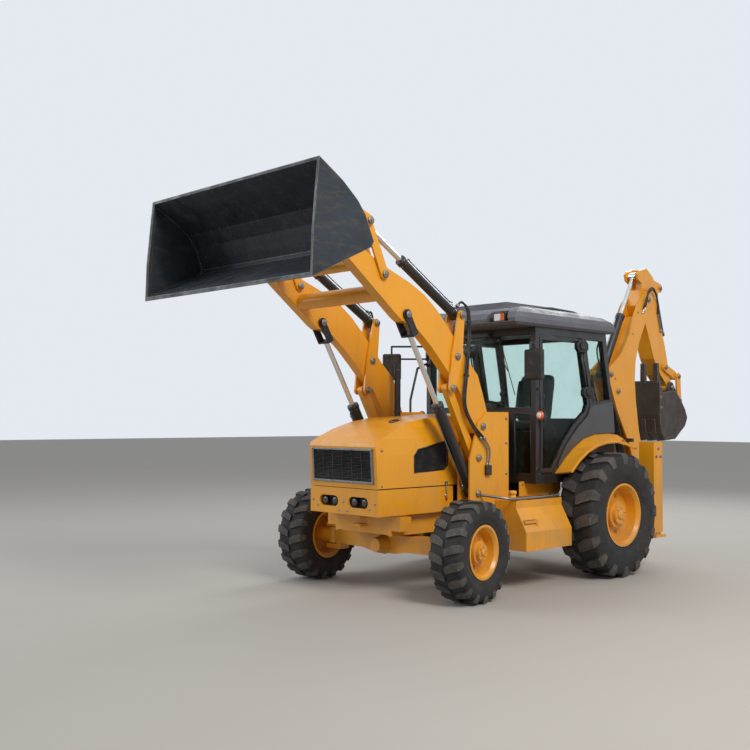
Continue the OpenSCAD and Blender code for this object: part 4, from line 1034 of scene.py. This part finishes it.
# Fenders: rolled edge; side boxes: steps with tread bars, pipe, filler necks
FENDER = [(-606, 1108), (-460, 1220), (-300, 1310), (-120, 1370), (60, 1399), (260, 1403), (440, 1370),
          (594, 1325)]
s = Shape("fender_edges", YELLOW, slot="yellow_paint")
for side in BOTH:
    s.tube([(side * 949, y, z - 9) for y, z in FENDER], 20, 12, 6)
s.done()
s = Shape("step_treads", STEEL)
for side in BOTH:
    for z in (445, 665):
        for k in range(7):
            y = -1435 + k * 27
            s.box((side * 865, y, z), (side * 1005, y + 10, z + 5))
    for k in range(16):
        y = -1210 + k * 30
        s.box((side * 680, y, 851), (side * 900, y + 11, 856))
s.done(0.001)
s = Shape("side_box_pipe", STEEL)
s.tube([(668, -1692, 905), (740, -1660, 900), (880, -1560, 880), (893, -1440, 872), (893, -1100, 870),
        (893, -800, 872), (880, -735, 872), (760, -722, 880)], 26, 16)
s.done()
s = Shape("filler_necks", YELLOW, slot="yellow_paint")
for x in (842, -842):
    s.ring((x, -1424, 850), UP, (40, 40, 31, 31), (0, 8, 12, 66), 32)
    s.ring((x, -1424, 912), UP, (36, 38, 38, 34, 20), (0, 4, 28, 33, 36), 32)
s.done()
side_bolts("stabiliser_bolts", ((792, 1320), (750, 1232), (838, 1232)), 1125, 26, 14)


# Hood latches, the stack's collars and a black plug of painted shade in its bore, skirts under the cab's
# floor
LATCH_Y = -1964
for side, word in SIDES:
    s = Shape("hood_latch_" + word, STEEL, "hood")
    s.box((side * 458, LATCH_Y - 18, 1010), (side * 470, LATCH_Y + 18, 1040))
    s.rod((side * 468, LATCH_Y, 905), (side * 468, LATCH_Y, 1020), 12)
    s.ring((side * 460, LATCH_Y, 905), (side, 0, 0), (17, 17, 12), (0, 8, 12), 20)
    s.done(0.002)
    t = Shape("latch_pull_" + word, RED, "hood")
    t.rod((side * 470, LATCH_Y, 862), (side * 470, LATCH_Y, 905), 18)
    t.done()
STACK = (-410, -1740)
s = Shape("stack_trim", IRON, "hood")
s.ring((*STACK, 2120), UP, (32.5, 36, 36, 32.5), (0, 2, 24, 26), 32)
s.ring((*STACK, 1700), UP, (32.5, 45, 45, 40), (0, 2, 10, 14), 32)
s.ring((*STACK, 2196), UP, (29, 29), (0, 3), 32)
s.done()
# A flat black plug at the stack's mouth: painted shade standing in for its open bore.
s = Shape("stack_bore_shade", TRIM, "hood")
s.ring((*STACK, 2160), UP, (26, 26), (0, 40.8), 32)
s.done()
SKIRT_X = 602
s = Shape("floor_skirts", YELLOW, slot="yellow_paint")
for side in BOTH:
    s.prism([(-1010, 854), (-340, 854), (-300, 890), (-300, 1003), (-1010, 1003)],
            side * (SKIRT_X - 6), side * SKIRT_X)
    s.prism([(-1010, 854), (-340, 854), (-340, 860), (-1010, 860)], side * SKIRT_X, side * (SKIRT_X + 24))
s.done(0.002)
side_bolts("skirt_bolts", [(y, 975) for y in (-960, -760, -560, -380)], SKIRT_X, 18, 10)


# Backhoe: caps on its pins, teeth, wear strips, pipes and hoses
def end_caps(name, body, places, half, d=56):
    s = Shape(name, STEEL, body)
    for y, z in places:
        for way in BOTH:
            x = SHIFT_X + way * half
            s.ring((x, y, z), (way, 0, 0), (d / 2 - 2, d / 2, d / 2, d / 2 - 3), (-1, 1, 7, 9), 28)
            s.ring((x + way * 8, y, z), (way, 0, 0), (12, 12, 10), (0, 6, 8), 6, smooth=False)
    s.done()


end_caps("boom_foot_caps", "kingpost", (BOOM_FOOT,), 176, 84)
end_caps("boom_pin_caps", "boom", (DIPPER_CYLINDER_FOOT, (1530, 3070), BOOM_CYLINDER_TOP), 137, 62)
end_caps("dipper_pin_caps", "dipper", (DIG_CYLINDER_FOOT,), 107)
end_caps("guide_pin_caps", "dipper", ((1910, 2275),), 141)
end_caps("dig_pin_caps", "digging_bucket", ((2060, 2030),), 133)
end_caps("rod_pin_caps", "guide_links", (DIG_ROD_EYE,), 161)
end_caps("link_pin_caps", "tipping_link", ((2205, 1870),), 161)

s = Shape("bucket_teeth", DIG_STEEL, "digging_bucket", "bucket_paint")
for x in (SHIFT_X - 170, SHIFT_X, SHIFT_X + 170):
    s.prism([(1597, 2096), (1637, 2096), (1634, 2240), (1600, 2240)], x - 35, x + 35)
    s.prism([(1599, 2215), (1635, 2215), (1628, 2290), (1619, 2312), (1613, 2312), (1604, 2290)],
            x - 33, x + 33)
s.done(0.004)
s = Shape("bucket_cutters", DIG_STEEL, "digging_bucket", "bucket_paint")
for way in BOTH:
    x = SHIFT_X + way * 220
    s.prism([(1606, 1720), (1600, 2094), (1640, 2094), (1668, 1950), (1690, 1730)], x, x + way * 9)
    s.prism([(1740, 1396), (1650, 1484), (1640, 1530), (1672, 1530), (1690, 1490), (1752, 1428), (1960, 1440),
             (1966, 1406)], x, x + way * 7)
for x in (SHIFT_X - 130, SHIFT_X, SHIFT_X + 130):
    s.prism([(1735, 1387), (1640, 1476), (1612, 1640), (1606, 1640), (1630, 1472), (1731, 1379), (1966, 1389),
             (2087, 1470), (2083, 1478), (1963, 1400)], x - 26, x + 26)
s.done(0.003)
side_bolts("cutter_bolts", ((1628, 1780), (1624, 1900), (1620, 2020)), 229, 20, 10, "digging_bucket", SHIFT_X)

BOOM_RISE = ((650, 2150), (716, 1900), (852, 1610), (962, 1320), (1028, 1130), (1078, 1040))
for i, dx in enumerate((-118, -88, 88, 118)):
    s = Shape("boom_hose_%d" % i, HOSE, "boom")
    s.tube([(SHIFT_X + dx, y - 4 * (i % 2), z) for y, z in BOOM_RISE], 22)
    s.done(bend=("kingpost", "boom", pt(SHIFT_X, 1070, 1060), pt(SHIFT_X, 880, 1560)))
BOOM_BACK = ((1412, 1240), (1320, 1510), (1259, 1860), (1239, 2080), (1259, 2310), (1346, 2545), (1430, 2680))
s = Shape("boom_rear_hoses", HOSE, "boom")
for dx in (-48, -16, 16, 48):
    s.tube([(SHIFT_X + dx, y, z) for y, z in BOOM_BACK], 20)
s.done()
s = Shape("boom_hose_clamps", TRIM, "boom")
for y, z, t in ((1322, 1500, 0.2), (1242, 2050, 0.0), (1300, 2430, -0.5)):
    s.box((SHIFT_X - 72, y - 14, z - 14), (SHIFT_X + 72, y + 16, z + 14), about_x(t), (SHIFT_X, y, z))
s.done(0.004)
for i, far in enumerate((0, 24)):
    s = Shape("elbow_hose_%d" % i, HOSE, "boom")
    s.tube([(591 + far * 0.4, 1400 + far, 2930 + far), (606, 1432 + far, 3030), (612, 1500, 3150 + far),
            (610, 1590, 3190 + far), (596, 1690, 3140 + far * 0.6), (575, 1770, 3030),
            (560, 1800 - far, 2920)], 19)
    s.done(bend=("boom", "dipper", pt(SHIFT_X, 1480, 3100), pt(SHIFT_X, 1680, 3120)))
s = Shape("elbow_ports", STEEL, "boom")
for far in (0, 24):
    s.ring((591 + far * 0.4, 1396 + far, 2918 + far), (0.1, 0.3, 1), (14, 14), (-22, 22), 6, smooth=False)
s.done()
s = Shape("elbow_pipes", STEEL, "dipper")
for far in (0, 24):
    s.tube([(562, 1800 - far, 2930), (562, 1838 - far, 2810), (562, 1872 - far, 2715)], 13, 12, 8)
    s.ring((562, 1872 - far, 2700), (0, -0.33, 0.94), (14, 14, 9), (0, 26, 30), 6, smooth=False)
s.done()
s = Shape("base_hose", HOSE, "boom")
s.tube([(500, 650, 2215), (500, 585, 2300), (498, 560, 2430), (496, 620, 2520), (492, 690, 2460),
        (490, 726, 2330)], 19)
s.done()
s = Shape("boom_studs", STEEL, "boom")
for way in BOTH:
    for y, z in ((1180, 2640), (1300, 2900), (800, 2100), (1230, 1300)):
        s.ring((SHIFT_X + way * 125, y, z), (way, 0, 0), (12, 12, 8), (0, 5, 8), 16)
s.done()
s = Shape("slide_clamps", STEEL, "carriage")
for dx in (-250, -200, 200, 250):
    for z in (470, 520, 980, 1040):
        s.bolt((SHIFT_X + dx, 839, z), (0, 1, 0), 28, 16)
s.done()


# Seat and what the driver holds
def cushion(name, low, high, turn=None, about=None, crown=26, pull=9):
    """A padded form between two corners: crowned on its faces, pulled in along its sides."""
    bm = bmesh.new()
    bmesh.ops.create_cube(bm, size=2.0)
    bmesh.ops.subdivide_edges(bm, edges=bm.edges[:], cuts=11, use_grid_fill=True)
    c = (Vector(low) + Vector(high)) / 2
    h = (Vector(high) - Vector(low)) / 2
    thin = min(range(3), key=lambda i: h[i])
    wide = [i for i in range(3) if i != thin]
    for v in bm.verts:
        u = Vector(v.co)
        k = (abs(u.x) ** 7 + abs(u.y) ** 7 + abs(u.z) ** 7) ** (1 / 7)
        p = u / max(k, 1e-6)
        q = Vector([p[i] * h[i] for i in range(3)])
        swell = (1 - u[wide[0]] ** 4) * (1 - u[wide[1]] ** 4)
        q[thin] -= copysign((1 - swell) * crown * abs(p[thin]), p[thin])
        for i, j in (wide, wide[::-1]):
            q[i] -= p[i] * pull * (1 - p[thin] ** 2) * (1 - u[j] ** 2)
        place = pt(*(c + q))
        if turn is not None:
            o = pt(*about)
            place = o + turn @ (place - o)
        v.co = place
    for f in bm.faces:
        f.smooth = True
    obj = mesh_object(name, bm, SEAT)
    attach(obj, "machine")
    return obj


LEAN = about_x(radians(-10))
BACK_FOOT = (-230, -20, 1600)
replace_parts(cushion("seat_cushion", (-238, -418, 1502), (238, 18, 1618)), "seat")
cushion("seat_back", (-228, -18, 1604), (228, 78, 2156), LEAN, BACK_FOOT, 20)
cushion("seat_wing_left", (168, -46, 1640), (226, 20, 2080), LEAN, BACK_FOOT, 12, 4)
cushion("seat_wing_right", (-226, -46, 1640), (-168, 20, 2080), LEAN, BACK_FOOT, 12, 4)
s = Shape("seat_piping", TRIM)
ring = [(-222, -404), (0, -412), (222, -404), (230, -200), (222, 4), (0, 10), (-222, 4), (-230, -200)]
s.tube([(x, y, 1594) for x, y in ring + ring[:1]], 7, 8, 6)
s.done()
# each lever: its foot, the height of its knob, how far it leans
LEVERS = ((-400, -330, 1880, 10, -30), (-460, -330, 1860, 20, -20), (420, -330, 1850, 0, -30),
          (-400, 0, 1900, 0, 40), (-460, 0, 1900, 0, 40))
LEVER_FOOT = 1640
s = Shape("levers", TRIM)
t = Shape("lever_knobs", BLACK, slot="black_paint")
for x, y, top, dx, dy in LEVERS:
    s.rod((x, y, LEVER_FOOT), (x + dx, y + dy, top), 12)
    t.ring((x + dx, y + dy, top - 6), UP, (9, 20, 24, 22, 12), (0, 12, 30, 46, 58), 20)
    s.ring((x, y, LEVER_FOOT - 8), UP, (38, 30, 20, 12), (0, 18, 30, 44), 20)
s.done()
t.done()
tilt = about_x(radians(-25))
s = Shape("dash", PANEL, slot="grey_plastic")
s.box((-150, -905, 1690), (150, -800, 1790), tilt, (0, -850, 1740))
s.done(0.012)
s = Shape("gauges", CLEAR)
for x in (-90, 0, 90):
    s.ring((x, -800, 1752), (0, 0.9, 0.42), (34, 34, 30), (0, 6, 8), 28)
s.done()
s = Shape("pedals", STEEL)
for x in (-210, -150, 150):
    s.box((x - 32, -880, 1090), (x + 32, -800, 1104), about_x(radians(30)), (x, -840, 1097))
    s.rod((x, -850, 1050), (x, -842, 1095), 16)
s.done(0.003)
s = Shape("wheel_grip", TRIM)
hub = pt(0, -690, 1680)
for spoke in (80, 200, 320):
    t = radians(spoke)
    p, q = [from_axle(hub + tilt @ Vector((r * cos(t), r * sin(t), 0.082))) for r in (0.03, 0.165)]
    s.rod(p, q, 18)
knob = from_axle(hub + tilt @ Vector((0.12, 0.12, 0.085)))
s.ring(knob, tilt @ Vector((0, 0, 1)), (10, 12, 22, 24, 18), (0, 20, 26, 44, 56), 20)
s.done()
